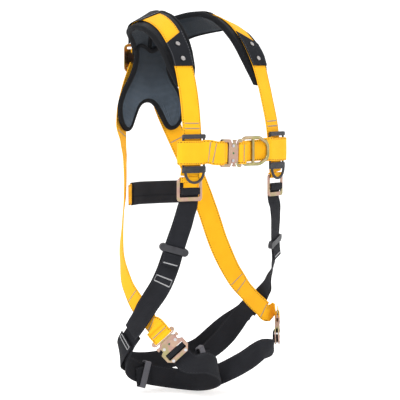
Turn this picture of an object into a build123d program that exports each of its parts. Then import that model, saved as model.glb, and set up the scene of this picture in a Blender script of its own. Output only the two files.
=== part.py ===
from build123d import *
import os

os.makedirs("parts", exist_ok=True)

# Full-body fall-arrest harness, drawn as it stands on a wearer. X points to the wearer's left,
# Y to the wearer's back, Z up. The origin is on the wearer's centre line at the crotch, level with
# the leg straps' inner runs; the lowest edge, on the right leg strap, is 17.5 below it. All sizes
# are in millimetres.

# ---- driving dimensions ----
WEB_WIDTH = 45.0
WEB_THICK = 2.2
GAP = 0.4  # air left between neighbouring pieces
SLEEVE_WIDTH = 50.0
SLEEVE_THICK = 5.0
PAD_THICK = 13.0
FLAP_THICK = 2.0
RING_WIRE = 4.5  # radius of the D-ring bar stock
PLATE = 2.2  # sheet steel of the quick-connect buckles
PLATE_SPACE = 5.0  # room between a buckle's two plates
SIDES = {"right": -1, "left": 1}

# ---- routes: x, y, z, then the direction across the webbing. Drawn for the wearer's left ----
# The shoulder strap over the pad, from the dorsal plate forward and down to the torso adjuster.
SHOULDER = [
    (24, 174, 718, 1, -0.1, -0.2),
    (28, 170, 734, 1, -0.2, -0.3),
    (44, 152, 756, 1, -0.25, -0.3),
    (68, 124, 776, 1, -0.3, -0.3),
    (87, 90, 786, 1, -0.3, -0.34),
    (96, 58, 789, 1, -0.3, -0.38),
    (100, 26, 783, 1, -0.3, -0.44),
    (103, -4, 768, 1, -0.25, -0.45),
    (106, -32, 743, 1, -0.15, -0.42),
    (108, -53, 715, 1, -0.05, -0.3),
    (110, -68, 684, 1, 0.1, -0.12),
    (111, -80, 650, 1, 0.18, -0.04),
    (113, -91, 608, 1, 0.2, 0),
    (116, -99, 570, 1, 0.2, 0),
    (118, -104, 532, 1, 0.2, 0),
    (122, -105, 480, 1, 0.2, 0),
    (125, -103.2, 456, 1, 0.24, 0),
]
PAD_FIRST, PAD_LAST = 2, 11  # the stations of SHOULDER that the shoulder pad runs under
PAD_WIDTHS = [64, 76, 86, 90, 90, 88, 84, 74, 58, 34]
FLAP_FIRST, FLAP_LAST = 8, 10
FLAP_WIDTHS = [62, 62, 58]

# The back strap, from the dorsal plate down past the lumbar strap and forward to the leg buckle.
BACK = {
    "left": [
        (22, 181, 684, 1, -0.1, 0.3),
        (37, 184, 646, 1, -0.1, 0.38),
        (58, 183, 592, 1, -0.2, 0.4),
        (77, 170, 540, 1, -0.3, 0.38),
        (103, 153, 475, 1, -0.5, 0.35),
        (125, 142, 420, 1, -0.6, 0.3),
        (146, 130, 355, 0.9, -0.8, 0.2),
        (160, 110, 285, 0.7, -0.9, 0.3),
        (168, 68, 216, 0.3, -0.8, 0.5),
        (168, 25, 180, 0, -0.7, 0.7),
        (167.5, -14, 156, 0, -0.6, 0.75),
        (169, -38, 144, 0.1, -0.5, 0.75),
    ],
    "right": [
        (22, 181, 684, 1, -0.1, 0.3),
        (37, 184, 646, 1, -0.1, 0.38),
        (58, 183, 592, 1, -0.2, 0.4),
        (75, 172, 551, 1, -0.35, 0.38),
        (88, 149, 508, 1, -0.7, 0.36),
        (100, 131, 475, 1, -0.9, 0.35),
        (114, 114, 420, 1, -1.0, 0.3),
        (136, 96, 355, 0.8, -1.0, 0.2),
        (155, 78, 285, 0.6, -1.0, 0.3),
        (165, 48, 222, 0.2, -0.9, 0.5),
        (167, 16, 186, 0, -0.7, 0.7),
        (166.5, -18, 158, 0, -0.6, 0.75),
        (168, -38, 142, 0.1, -0.5, 0.75),
    ],
}

# The hip strap, from the torso adjuster down and back to the hip junction. The right leg is let
# out a little lower than the left.
HIP_TOP = [
    (130, -98, 385, 1, 0.3, 0),
    (137, -93, 355, 1, 0.4, 0),
    (143, -86, 328, 1, 0.45, 0),
    (148, -80, 304, 1, 0.5, 0.05),
    (155, -71, 268, 0.9, 0.6, 0.12),
]
HIP = {
    "left": HIP_TOP + [
        (162, -57, 236, 0.75, 0.7, 0.25),
        (175, -31, 202, 0.4, 0.85, 0.38),
        (180.5, 2, 170, 0.12, 0.85, 0.5),
        (181, 32, 146, 0.0, 0.7, 0.7),
    ],
    "right": HIP_TOP + [
        (163, -55, 228, 0.75, 0.7, 0.25),
        (177.5, -30, 184, 0.4, 0.85, 0.38),
        (182, -6, 150, 0.12, 0.85, 0.5),
        (182, 18, 124, 0.0, 0.78, 0.62),
    ],
}
# The seat strap carries on from the right hip strap, behind the thighs, to the left hip strap.
SEAT = [
    (-181.5, 32, 109, 0, 0.75, 0.65),
    (-173, 60, 84, 0, 0.4, 0.9),
    (-150, 88, 62, 0, 0.1, 1),
    (-108, 108, 46, 0, 0, 1),
    (-54, 118, 38, 0, 0, 1),
    (0, 121, 38, 0, 0, 1),
    (50, 120, 43, 0, 0, 1),
    (96, 112, 56, 0, 0, 1),
    (130, 101, 79, 0, 0.1, 1),
    (155, 84, 104, 0, 0.35, 0.9),
    (176.5, 60, 127, 0, 0.6, 0.8),
    (181, 42, 139, 0, 0.68, 0.73),
]
# The leg strap, from the inside of the hip junction, under the thigh and up to the leg buckle.
LEG = {
    "left": [
        (174, 24, 153, 0, 0.7, 0.7),
        (170, 44, 133, 0, 0.6, 0.75),
        (157, 62, 104, 0, 0.4, 0.9),
        (138, 75, 77, 0, 0.1, 1),
        (104, 86, 50, 0, 0, 1),
        (60, 80, 30, 0, 0, 1),
        (28, 60, 17, 0, 0, 1),
        (12, 26, 12, 0, 0, 1),
        (9, -12, 14, 0, 0, 1),
        (11, -44, 22, 0, 0.05, 1),
        (22, -72, 36, 0.1, 0.15, 1),
        (52, -90, 54, 0.2, 0.1, 1),
        (88, -99, 74, 0.3, 0.05, 0.95),
    ],
    "right": [
        (175, 12, 128, 0, 0.78, 0.62),
        (174, 36, 102, 0, 0.75, 0.66),
        (163, 60, 72, 0, 0.4, 0.9),
        (141, 80, 48, 0, 0.1, 1),
        (102, 94, 27, 0, 0, 1),
        (60, 90, 14, 0, 0, 1),
        (28, 66, 7, 0, 0, 1),
        (12, 28, 5, 0, 0, 1),
        (8, -12, 8, 0, 0, 1),
        (9, -46, 16, 0, 0.05, 1),
        (17, -76, 29, 0.1, 0.15, 1),
        (40, -97, 45, 0.2, 0.1, 1),
        (76, -105, 62, 0.3, 0.05, 0.95),
    ],
}
LEG_KEEPER_STATION = 5
# The lumbar strap, from one back strap to the other.
LUMBAR = [
    (-106, 111, 406, 0, 0, 1),
    (-84, 128, 407, 0, 0, 1),
    (-44, 144, 407, 0, 0, 1),
    (0, 152, 406, 0, 0, 1),
    (46, 156, 405, 0, 0, 1),
    (88, 153, 404, 0, 0, 1),
    (118, 138, 403, 0, 0, 1),
]
LUMBAR_SLEEVE_FIRST, LUMBAR_SLEEVE_LAST = 1, 5

# ---- places of the hardware, again for the wearer's left ----
KEEPER_AT, KEEPER_ACROSS, KEEPER_OUT = (119.5, -105, 506), (0.978, 0.2, 0), (0.2, -0.978, 0)
TORSO_AT, TORSO_ACROSS, TORSO_OUT = (125, -103, 429), (0.97, 0.24, 0), (0.24, -0.97, 0)
HIP_KEEPER_STATION = 3
LEG_BUCKLE_AT = {"left": (155, -81, 106), "right": (151, -84, 97)}
LEG_BUCKLE_ALONG, LEG_BUCKLE_OUT = (-0.5, -0.46, -0.735), (0.68, -0.733, 0)
CHEST_BUCKLE = Plane(origin=(-40, -125, 503), x_dir=(-1, 0.1, 0.03), z_dir=(-0.1, -1, 0))
STERNAL_AT, STERNAL_OUT = (41, -120.5, 505), (-0.174, -0.985, 0)
DORSAL_AT = (0, 189, 701)

# Each chest sleeve starts behind its shoulder strap and turns round its outer edge: across and
# outward distances from the lanyard keeper's place.
CHEST_TURN = [(-18, -6.0), (4, -6.0), (24, -6.0), (31, -3.4), (33.6, 1.5), (31.8, 8.2), (24, 10.8),
              (4, 11), (-16, 11)]
CHEST_FRONT = {
    "right": [(-92, -123, 507.5, 0, 0, 1)],
    "left": [(90, -121.5, 507.5, 0, 0, 1), (77, -119.2, 506.5, 0, 0, 1)],
}
# From the left sleeve behind the sternal ring's middle bar and in front of its slot bar.
CHEST_WEAVE = [
    (71, -117, 506, 0, 0, 1),
    (41, -115.3, 505.2, 0, 0, 1),
    (27, -118, 505, 0, 0, 1),
    (15, -121.3, 504.5, 0, 0, 1),
    (7, -121.6, 504, 0, 0, 1),
]


# ---- shared construction ----
def sided(values, side):
    """Mirror a left-side point, direction or station to the wearer's right when side is -1."""
    mirrored = [side * values[0], values[1], values[2]]
    if len(values) > 3:
        mirrored += [side * values[3], values[4], values[5]]
    return tuple(mirrored)


def section_planes(route):
    """One plane across the route at each station, with its x axis across the webbing."""
    points = [Vector(*station[:3]) for station in route]
    planes = []
    for i, station in enumerate(route):
        ways = [(b - a).normalized() for a, b in zip(points, points[1:])][max(i - 1, 0):i + 1]
        travel = sum(ways[1:], ways[0]).normalized()
        across = Vector(*station[3:6])
        across = (across - travel * across.dot(travel)).normalized()
        planes.append(Plane(origin=points[i], x_dir=across, z_dir=travel))
    return planes


def outward_of(plane):
    """The webbing's face direction that points away from the wearer."""
    inside = Vector(0, 20, min(plane.origin.Z, 640))
    return plane.y_dir if plane.y_dir.dot(plane.origin - inside) > 0 else -plane.y_dir


def raised(route, distance):
    """The same route moved away from the wearer, square to the webbing."""
    stations = []
    for plane, station in zip(section_planes(route), route):
        moved = plane.origin + outward_of(plane) * distance
        stations.append((moved.X, moved.Y, moved.Z, *station[3:6]))
    return stations


def local_station(plane, x, z, across):
    """A route station given by its place on a piece of hardware."""
    point = plane.origin + plane.x_dir * x + plane.z_dir * z
    return (point.X, point.Y, point.Z, across.X, across.Y, across.Z)


def save(builder, name):
    """Label a finished piece and write it to its own STEP file."""
    builder.part.label = name
    export_step(builder.part, f"parts/{name}.step")


def webbing(name, route, widths=WEB_WIDTH, thick=WEB_THICK, eyes=(), wall=0.0):
    """A flat strap through the route's stations. Each eye is (plane across a bar, bar width, bar
    thickness): the strap's end sewn round that bar. A wall makes the strap a hollow sleeve."""
    widths = widths if isinstance(widths, list) else [widths] * len(route)
    thicks = thick if isinstance(thick, list) else [thick] * len(route)
    with BuildPart() as strap:
        for plane, width, depth in zip(section_planes(route), widths, thicks):
            with BuildSketch(plane):
                Rectangle(width, depth)
        loft(ruled=True)
        if wall:
            for plane, width, depth in zip(section_planes(route), widths, thicks):
                with BuildSketch(plane):
                    Rectangle(width - 2 * wall, depth - 2 * wall)
            loft(ruled=True, mode=Mode.SUBTRACT)
        for plane, bar_width, bar_thick in eyes:
            with BuildSketch(plane):
                RectangleRounded(bar_width + 2 * (GAP + WEB_THICK), bar_thick + 2 * (GAP + WEB_THICK), 2.4)
            extrude(amount=WEB_WIDTH / 2, both=True)
            with BuildSketch(plane):
                RectangleRounded(bar_width + 2 * GAP, bar_thick + 2 * GAP, 0.8)
            extrude(amount=WEB_WIDTH / 2 + 1, both=True, mode=Mode.SUBTRACT)
    save(strap, name)


def d_ring(name, plane, bar_half, depth, wire_radius, slot=0.0):
    """A D-ring of round bar: its straight bar lies on the plane's x axis, its bow towards +y. A slot
    puts the outer straight bar that far towards -y and adds a middle bar on the x axis."""
    shoulder, tip = depth * 0.45, bar_half * 0.55
    with BuildPart() as ring:
        with BuildLine(plane) as bow:
            FilletPolyline((-bar_half, -slot), (bar_half, -slot), (bar_half, shoulder), (tip, depth),
                           (-tip, depth), (-bar_half, shoulder), radius=[8, 8, 16, 14, 14, 16], close=True)
        wire = bow.wire()
        with BuildSketch(Plane(origin=wire @ 0, z_dir=wire % 0)):
            Circle(wire_radius)
        sweep(path=wire)
        if slot:
            with BuildSketch(Plane(origin=plane.origin, x_dir=plane.y_dir, z_dir=plane.x_dir)):
                Circle(0.95 * wire_radius)
            extrude(amount=bar_half, both=True)
    save(ring, name)


# ---- quick-connect buckle: x runs from the tongue to the webbing end, z outwards ----
BODY_OUTLINE = [(-27, -16), (-22, -21), (-11, -21), (-7, -29), (11, -29), (21, -19), (21, 19), (11, 29),
                (-7, 29), (-11, 21), (-22, 21), (-27, 16)]
WINDOW_AT, WINDOW_LENGTH, WINDOW_WIDTH = 5.2, 14.5, 46.4
WEB_BAR_AT, WEB_BAR_WIDTH, WEB_BAR_THICK = 4.5, 5.0, 2.6
RIVETS = [(-13.5, -15.5), (-13.5, 15.5), (17, -17), (17, 17)]
RIVET_RADIUS, RIVET_HEAD, RIVET_GAP = 2.2, 3.2, 0.12
TONGUE_THICK, TONGUE_HALF, TONGUE_END = 3.0, 12.0, -4.0
TONGUE_BAR_AT, TONGUE_BAR_WIDTH = -36.0, 5.0
TAB_AT, TAB_LENGTH, TAB_INNER, TAB_OUTER = -20.5, 6.0, 16.5, 28.0
LOBE_RADIUS, HEAD_HALF = 5.5, 30.0


def quick_connect(name, plane):
    """A quick-connect buckle: two plates, their rivets, a tongue and two release tabs."""
    inner_face = PLATE_SPACE / 2
    with BuildPart() as front_plate:
        with BuildSketch(plane.offset(inner_face)):
            with BuildLine():
                Polyline(*BODY_OUTLINE, close=True)
            make_face()
            with Locations((WINDOW_AT, 0)):
                RectangleRounded(WINDOW_LENGTH, WINDOW_WIDTH, 1.5, mode=Mode.SUBTRACT)
            with Locations(*RIVETS):
                Circle(RIVET_RADIUS + RIVET_GAP, mode=Mode.SUBTRACT)
            with Locations((-15, 0)):
                Circle(2.2, mode=Mode.SUBTRACT)
        extrude(amount=PLATE)
        chamfer(faces().sort_by(Axis(plane.origin, plane.z_dir))[-1].outer_wire().edges(), 0.7)
    save(front_plate, f"{name}_front_plate")

    with BuildPart() as back_plate:
        with BuildSketch(plane.offset(-inner_face - PLATE)):
            with BuildLine():
                Polyline(*BODY_OUTLINE, close=True)
            make_face()
            with Locations((WINDOW_AT, 0)):
                RectangleRounded(WINDOW_LENGTH, WINDOW_WIDTH, 1.5, mode=Mode.SUBTRACT)
            with Locations(*RIVETS):
                Circle(RIVET_RADIUS + RIVET_GAP, mode=Mode.SUBTRACT)
        extrude(amount=PLATE)
        with BuildSketch(plane.offset(-inner_face)):
            with Locations((2, -26), (2, 26)):
                Rectangle(16, 4)
        extrude(amount=PLATE_SPACE - 0.1)
        with BuildSketch(plane.offset(-WEB_BAR_THICK / 2)):
            with Locations((WEB_BAR_AT, 0)):
                Rectangle(WEB_BAR_WIDTH, 50)
        extrude(amount=WEB_BAR_THICK)
    save(back_plate, f"{name}_back_plate")

    head_base = inner_face + PLATE + RIVET_GAP
    with BuildPart() as rivets:
        with BuildSketch(plane.offset(-head_base)):
            with Locations(*RIVETS):
                Circle(RIVET_RADIUS)
        extrude(amount=2 * head_base)
        for start, amount in ((head_base, 1.2), (-head_base, -1.0)):
            with BuildSketch(plane.offset(start)):
                with Locations(*RIVETS):
                    Circle(RIVET_HEAD)
            extrude(amount=amount)
    save(rivets, f"{name}_rivets")

    bar_edge = TONGUE_BAR_AT - TONGUE_BAR_WIDTH / 2
    head_high = BODY_OUTLINE[0][0] - 0.6
    with BuildPart() as tongue:
        with BuildSketch(plane.offset(-TONGUE_THICK / 2)):
            lobe_at = TONGUE_BAR_AT + 1.5
            with Locations((lobe_at, LOBE_RADIUS - HEAD_HALF), (lobe_at, HEAD_HALF - LOBE_RADIUS)):
                Circle(LOBE_RADIUS)
            with Locations(((bar_edge + head_high) / 2, 0)):
                Rectangle(head_high - bar_edge, 2 * (HEAD_HALF - LOBE_RADIUS))
            with Locations((bar_edge - 3, 0)):
                Rectangle(6, WEB_WIDTH + 1.4, mode=Mode.SUBTRACT)
            with Locations((bar_edge + TONGUE_BAR_WIDTH + 1.7, 0)):
                RectangleRounded(3.4, WEB_WIDTH + 1.4, 1, mode=Mode.SUBTRACT)
            with Locations(((head_high - 0.5 + TONGUE_END) / 2, 0)):
                Rectangle(TONGUE_END - head_high + 0.5, 2 * TONGUE_HALF)
            with Locations((-13, 0)):
                Circle(3.5, mode=Mode.SUBTRACT)
        extrude(amount=TONGUE_THICK)
    save(tongue, f"{name}_tongue")

    for end, way in (("upper", 1), ("lower", -1)):
        with BuildPart() as tab:
            with BuildSketch(plane.offset(-1.5)):
                with Locations((TAB_AT, way * (TAB_INNER + TAB_OUTER) / 2)):
                    Rectangle(TAB_LENGTH, TAB_OUTER - TAB_INNER)
            extrude(amount=3)
            with BuildSketch(plane.offset(-2.2)):
                with Locations((TAB_AT, way * (TAB_OUTER - 1.5))):
                    RectangleRounded(TAB_LENGTH + 2, 3.6, 1.4)
            extrude(amount=4.4)
        save(tab, f"{name}_tab_{end}")

    loop_route = [local_station(plane, x, 0, plane.y_dir) for x in (TONGUE_BAR_AT - 4, TONGUE_BAR_AT - 17)]
    loop_eye = Plane(origin=plane.origin + plane.x_dir * TONGUE_BAR_AT, x_dir=plane.x_dir, z_dir=plane.y_dir)
    webbing(f"{name}_tongue_loop", loop_route, eyes=[(loop_eye, TONGUE_BAR_WIDTH, TONGUE_THICK)])


def web_end(plane, side, across, lead=()):
    """The last stations and the eye of a strap sewn round a buckle's web bar, coming from the
    buckle's front (side 1) or back (side -1)."""
    places = list(lead) + [(13.2, 7.1), (6.3, 2.9)]
    stations = [local_station(plane, x, side * z, across) for x, z in places]
    eye = Plane(origin=plane.origin + plane.x_dir * WEB_BAR_AT, x_dir=plane.x_dir, z_dir=plane.y_dir)
    return stations, (eye, WEB_BAR_WIDTH, WEB_BAR_THICK)


def tongue_end(plane):
    """The last stations of the strap that the tongue's loop is sewn to, behind the loop."""
    return [local_station(plane, x, z, plane.y_dir) for x, z in ((-60, -8.4), (-44, -6.4))]


leg_buckles = {}
for name, side in SIDES.items():
    leg_buckles[name] = Plane(origin=sided(LEG_BUCKLE_AT[name], side), x_dir=sided(LEG_BUCKLE_ALONG, side),
                              z_dir=sided(LEG_BUCKLE_OUT, side))
    quick_connect(f"leg_buckle_{name}", leg_buckles[name])
quick_connect("chest_buckle", CHEST_BUCKLE)

# ---- padded yoke ----
BACK_PAD_LEVELS = [(538, 164), (600, 166), (655, 160), (700, 154), (745, 148)]  # height, depth at centre
BACK_PAD_HALF, BACK_PAD_CURL = 100.0, 18.0
with BuildPart() as back_pad:
    for height, depth in BACK_PAD_LEVELS:
        side_depth = depth - BACK_PAD_CURL
        with BuildSketch(Plane.XY.offset(height)):
            with BuildLine():
                inner = ThreePointArc((-BACK_PAD_HALF, side_depth), (0, depth), (BACK_PAD_HALF, side_depth))
                outer = ThreePointArc((-BACK_PAD_HALF, side_depth + PAD_THICK), (0, depth + PAD_THICK),
                                      (BACK_PAD_HALF, side_depth + PAD_THICK))
                Line(inner @ 0, outer @ 0)
                Line(inner @ 1, outer @ 1)
            make_face()
    loft(ruled=True)
    with BuildSketch(Plane.XZ):
        with BuildLine():
            Polyline((0, 716), (20, 730), (44, 734), (50, 720), (46, 700), (54, 666), (84, 628), (97, 594),
                     (91, 560), (72, 541), (52, 544), (38, 570), (22, 598), (0, 606))
            mirror(about=Plane.YZ)
        make_face()
        fillet([v for v in vertices() if abs(v.X) > 5], radius=5)
    extrude(amount=-300, both=True, mode=Mode.INTERSECT)
save(back_pad, "back_pad")

# ---- torso adjusters: a steel frame whose top rail holds the shoulder strap; the hip strap turns
# round a floating bar in its opening ----
FRAME_WIDTH, FRAME_HEIGHT, FRAME_THICK = 58.0, 48.0, 4.0
RAIL_TOP, RAIL_BOTTOM, RAIL_SIDE = 6.0, 9.0, 5.5
FLOAT_HEIGHT, FLOAT_THICK, FLOAT_AT = 9.0, 4.5, -3.0
# The hip strap's way up behind the bottom rail to the floating bar: up and outward.
ADJUSTER_PATH = [(-9.5, -0.6), (-14.6, -4.2), (-27, -4.4)]
torso_planes = {}
for name, side in SIDES.items():
    torso_planes[name] = Plane(origin=sided(TORSO_AT, side), x_dir=(TORSO_ACROSS[0], side * TORSO_ACROSS[1], 0),
                               z_dir=sided(TORSO_OUT, side))

# ---- shoulder straps with their pads, keeper flaps and snaps ----
SNAP_RADIUS, SNAP_HEIGHT = 5.2, 2.4
for name, side in SIDES.items():
    route = [sided(station, side) for station in SHOULDER]
    plane = torso_planes[name]
    rail = plane.origin + plane.y_dir * (FRAME_HEIGHT - RAIL_TOP) / 2
    rail_eye = (Plane(origin=rail, x_dir=plane.y_dir, z_dir=plane.x_dir), RAIL_TOP, FRAME_THICK)
    webbing(f"shoulder_strap_{name}", route, eyes=[rail_eye])
    pad_route = raised(route, -(WEB_THICK + PAD_THICK) / 2 - 1.5)[PAD_FIRST:PAD_LAST + 1]
    webbing(f"shoulder_pad_{name}", pad_route, PAD_WIDTHS, PAD_THICK)
    flap_route = raised(route, (WEB_THICK + FLAP_THICK) / 2 + 1.3)[FLAP_FIRST:FLAP_LAST + 1]
    webbing(f"keeper_flap_{name}", flap_route, FLAP_WIDTHS, FLAP_THICK)
    with BuildPart() as flap_snaps:
        for first in (0, 1):
            start, end = section_planes(flap_route)[first:first + 2]
            middle = start.origin + (end.origin - start.origin) * 0.55
            out = (end.origin - start.origin).cross(start.x_dir + end.x_dir).normalized()
            out = out if out.dot(outward_of(start)) > 0 else -out
            with BuildSketch(Plane(origin=middle + out * (FLAP_THICK / 2 + 0.15), z_dir=out)):
                Circle(SNAP_RADIUS)
            extrude(amount=SNAP_HEIGHT)
    save(flap_snaps, f"flap_snaps_{name}")

# ---- dorsal plate and ring ----
DORSAL_HALF_WIDTH, DORSAL_HALF_HEIGHT, DORSAL_THICK = 50.0, 31.0, 3.0
RING_BAR_OUT = 9.0  # from the plate's back face to the middle of the ring's bar
HINGE_GAP = 0.3
dorsal_plane = Plane(origin=DORSAL_AT, x_dir=(1, 0, 0), z_dir=(0, 1, 0))
lug_plane = Plane(origin=DORSAL_AT, x_dir=(0, 1, 0), z_dir=(1, 0, 0))
with BuildPart() as dorsal_plate:
    with BuildSketch(dorsal_plane):
        RectangleRounded(2 * DORSAL_HALF_WIDTH, 2 * DORSAL_HALF_HEIGHT, 12)
        with Locations((-22, 22), (22, 22), (-22, -22), (22, -22)):
            SlotOverall(42, 5, mode=Mode.SUBTRACT)
    extrude(amount=DORSAL_THICK)
    with BuildSketch(lug_plane):
        with Locations((RING_BAR_OUT, 0)):
            Circle(RING_WIRE + 3.5)
        with Locations((RING_BAR_OUT / 2 + 0.5, 0)):
            Rectangle(RING_BAR_OUT - 1, 2 * (RING_WIRE + 3.5))
    extrude(amount=17, both=True)
    with BuildSketch(lug_plane):
        with Locations((RING_BAR_OUT, 0)):
            Circle(RING_WIRE + HINGE_GAP)
    extrude(amount=60, both=True, mode=Mode.SUBTRACT)
save(dorsal_plate, "dorsal_plate")
ring_middle = (0, DORSAL_AT[1] + RING_BAR_OUT, DORSAL_AT[2])
d_ring("dorsal_ring", Plane(origin=ring_middle, x_dir=(1, 0, 0), z_dir=(0, 1, 0)), 31, 72, RING_WIRE)

# ---- back straps, lumbar strap and its sleeve ----
for name, side in SIDES.items():
    route = [sided(station, side) for station in BACK[name]]
    webbing(f"back_strap_{name}", route + tongue_end(leg_buckles[name]))
webbing("lumbar_strap", LUMBAR)
sleeve_route = LUMBAR[LUMBAR_SLEEVE_FIRST:LUMBAR_SLEEVE_LAST + 1]
webbing("lumbar_sleeve", sleeve_route, WEB_WIDTH + 5, WEB_THICK + 5, wall=1.9)

# ---- torso adjusters ----
for name, side in SIDES.items():
    plane = torso_planes[name]
    with BuildPart() as frame:
        with BuildSketch(plane.offset(-FRAME_THICK / 2)):
            RectangleRounded(FRAME_WIDTH, FRAME_HEIGHT, 7)
            with Locations((0, (RAIL_BOTTOM - RAIL_TOP) / 2)):
                RectangleRounded(FRAME_WIDTH - 2 * RAIL_SIDE, FRAME_HEIGHT - RAIL_TOP - RAIL_BOTTOM, 2,
                                 mode=Mode.SUBTRACT)
        extrude(amount=FRAME_THICK)
        chamfer(faces().sort_by(Axis(plane.origin, plane.z_dir))[-1].edges(), 0.8)
    save(frame, f"torso_adjuster_frame_{name}")
    with BuildPart() as float_bar:
        with BuildSketch(plane.offset(-FLOAT_THICK / 2)):
            with Locations((0, FLOAT_AT)):
                RectangleRounded(FRAME_WIDTH - 2 * RAIL_SIDE - 0.8, FLOAT_HEIGHT, 2)
        extrude(amount=FLOAT_THICK)
    save(float_bar, f"torso_adjuster_bar_{name}")

    bar = plane.origin + plane.y_dir * FLOAT_AT
    bar_eye = (Plane(origin=bar, x_dir=plane.y_dir, z_dir=plane.x_dir), FLOAT_HEIGHT, FLOAT_THICK)
    top = []
    for up, out in ADJUSTER_PATH:
        point = plane.origin + plane.y_dir * up + plane.z_dir * out
        top.append((point.X, point.Y, point.Z, *plane.x_dir))
    webbing(f"hip_strap_{name}", top + [sided(station, side) for station in HIP[name]], eyes=[bar_eye])

# ---- hip keepers: a plastic clip that holds the free strap end ----
CLIP_HEIGHT, CLIP_THICK, CLIP_LOBE = 14.0, 9.0, 8.5
for name, side in SIDES.items():
    route = [sided(station, side) for station in HIP[name]]
    across = section_planes(route)[HIP_KEEPER_STATION]
    plane = Plane(origin=across.origin, x_dir=across.x_dir, z_dir=outward_of(across))
    with BuildPart() as hip_keeper:
        with BuildSketch(plane.offset(-CLIP_THICK / 2)):
            Rectangle(WEB_WIDTH + 8, CLIP_HEIGHT)
            with Locations((-WEB_WIDTH / 2 - 1, 0), (WEB_WIDTH / 2 + 1, 0)):
                Circle(CLIP_LOBE)
        extrude(amount=CLIP_THICK)
        with BuildSketch(across):
            Rectangle(WEB_WIDTH + 2.4, WEB_THICK + 2.4)
        extrude(amount=30, both=True, mode=Mode.SUBTRACT)
    save(hip_keeper, f"hip_keeper_{name}")
    down = plane.y_dir if plane.y_dir.Z < 0 else -plane.y_dir
    tail_route = []
    for drop, out in ((CLIP_LOBE + 0.5, 3.2), (20, 4.2), (36, 6.5)):
        point = plane.origin + down * drop + plane.z_dir * out
        tail_route.append((point.X, point.Y, point.Z, *across.x_dir))
    webbing(f"hip_strap_tail_{name}", tail_route, WEB_WIDTH - 3)

# ---- seat strap, leg straps and their elastic keepers ----
webbing("seat_strap", SEAT)
ELASTIC_WIDTH, ELASTIC_HEIGHT, ELASTIC_DEPTH, ELASTIC_WALL = 16.0, 59.0, 13.0, 1.2
for name, side in SIDES.items():
    route = [sided(station, side) for station in LEG[name]]
    buckle = leg_buckles[name]
    end_stations, eye = web_end(buckle, -1, buckle.y_dir, lead=[(40, 8.2), (17.5, 7.9)])
    webbing(f"leg_strap_{name}", route + end_stations, eyes=[eye])
    start, end = section_planes(route)[LEG_KEEPER_STATION - 1:LEG_KEEPER_STATION + 1]
    travel = (end.origin - start.origin).normalized()
    middle = Plane(origin=(start.origin + end.origin) / 2, x_dir=start.x_dir + end.x_dir, z_dir=travel)
    tail_route = []
    for run, drop in ((-20, 13), (0, 4.5), (14, -1.5)):
        point = middle.origin + travel * run - middle.x_dir * drop - outward_of(middle) * 4.2
        tail_route.append((point.X, point.Y, point.Z, *middle.x_dir))
    webbing(f"leg_strap_tail_{name}", tail_route, WEB_WIDTH - 5)
    ring_at = middle.origin - outward_of(middle) * 2.1 - middle.x_dir * 3
    with BuildPart() as leg_keeper:
        with BuildSketch(Plane(origin=ring_at, x_dir=middle.x_dir, z_dir=travel)):
            RectangleRounded(ELASTIC_HEIGHT, ELASTIC_DEPTH, 2.5)
            RectangleRounded(ELASTIC_HEIGHT - 2 * ELASTIC_WALL, ELASTIC_DEPTH - 2 * ELASTIC_WALL, 1.3,
                             mode=Mode.SUBTRACT)
        extrude(amount=ELASTIC_WIDTH / 2, both=True)
    save(leg_keeper, f"leg_keeper_{name}")

# ---- lanyard keepers and chest straps ----
KEEPER_WIDTH, KEEPER_BAR, KEEPER_BASE = 54.0, 9.0, 14.0
KEEPER_TOP, KEEPER_LOW, KEEPER_OFFSET = 38.0, -42.0, 4.8
LOOP_RADIUS, LOOP_WIRE = 22.0, 2.8
sleeve_back = {}
for name, side in SIDES.items():
    plane = Plane(origin=sided(KEEPER_AT, side), x_dir=(KEEPER_ACROSS[0], side * KEEPER_ACROSS[1], 0),
                  z_dir=sided(KEEPER_OUT, side))
    with BuildPart() as lanyard_keeper:
        with BuildSketch(plane.offset(KEEPER_OFFSET)):
            with Locations((0, (KEEPER_TOP + KEEPER_LOW) / 2)):
                RectangleRounded(KEEPER_WIDTH, KEEPER_TOP - KEEPER_LOW, 4)
            with Locations((0, (KEEPER_TOP - KEEPER_BAR + KEEPER_LOW + KEEPER_BASE) / 2)):
                Rectangle(KEEPER_WIDTH - 8, KEEPER_TOP - KEEPER_BAR - KEEPER_LOW - KEEPER_BASE, mode=Mode.SUBTRACT)
        extrude(amount=2.4)
        with BuildSketch(plane.offset(KEEPER_OFFSET)):
            with Locations((0, KEEPER_TOP - KEEPER_BAR / 2)):
                RectangleRounded(KEEPER_WIDTH, KEEPER_BAR, 3)
            with Locations((0, KEEPER_LOW + KEEPER_BASE / 2)):
                RectangleRounded(KEEPER_WIDTH, KEEPER_BASE, 3)
        extrude(amount=5.5)
        loop_centre = plane.offset(KEEPER_OFFSET + 5).origin + plane.y_dir * (KEEPER_LOW + 2)
        wire_at = loop_centre + plane.x_dir * LOOP_RADIUS
        with BuildSketch(Plane(origin=wire_at, x_dir=plane.x_dir, z_dir=plane.y_dir)):
            Circle(LOOP_WIRE)
        revolve(axis=Axis(loop_centre, plane.z_dir), revolution_arc=-180)
    save(lanyard_keeper, f"lanyard_keeper_{name}")
    turn = [local_station(plane, side * x, z, Vector(0, 0, 1)) for x, z in CHEST_TURN]
    sleeve_back[name] = turn + CHEST_FRONT[name]

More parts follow.
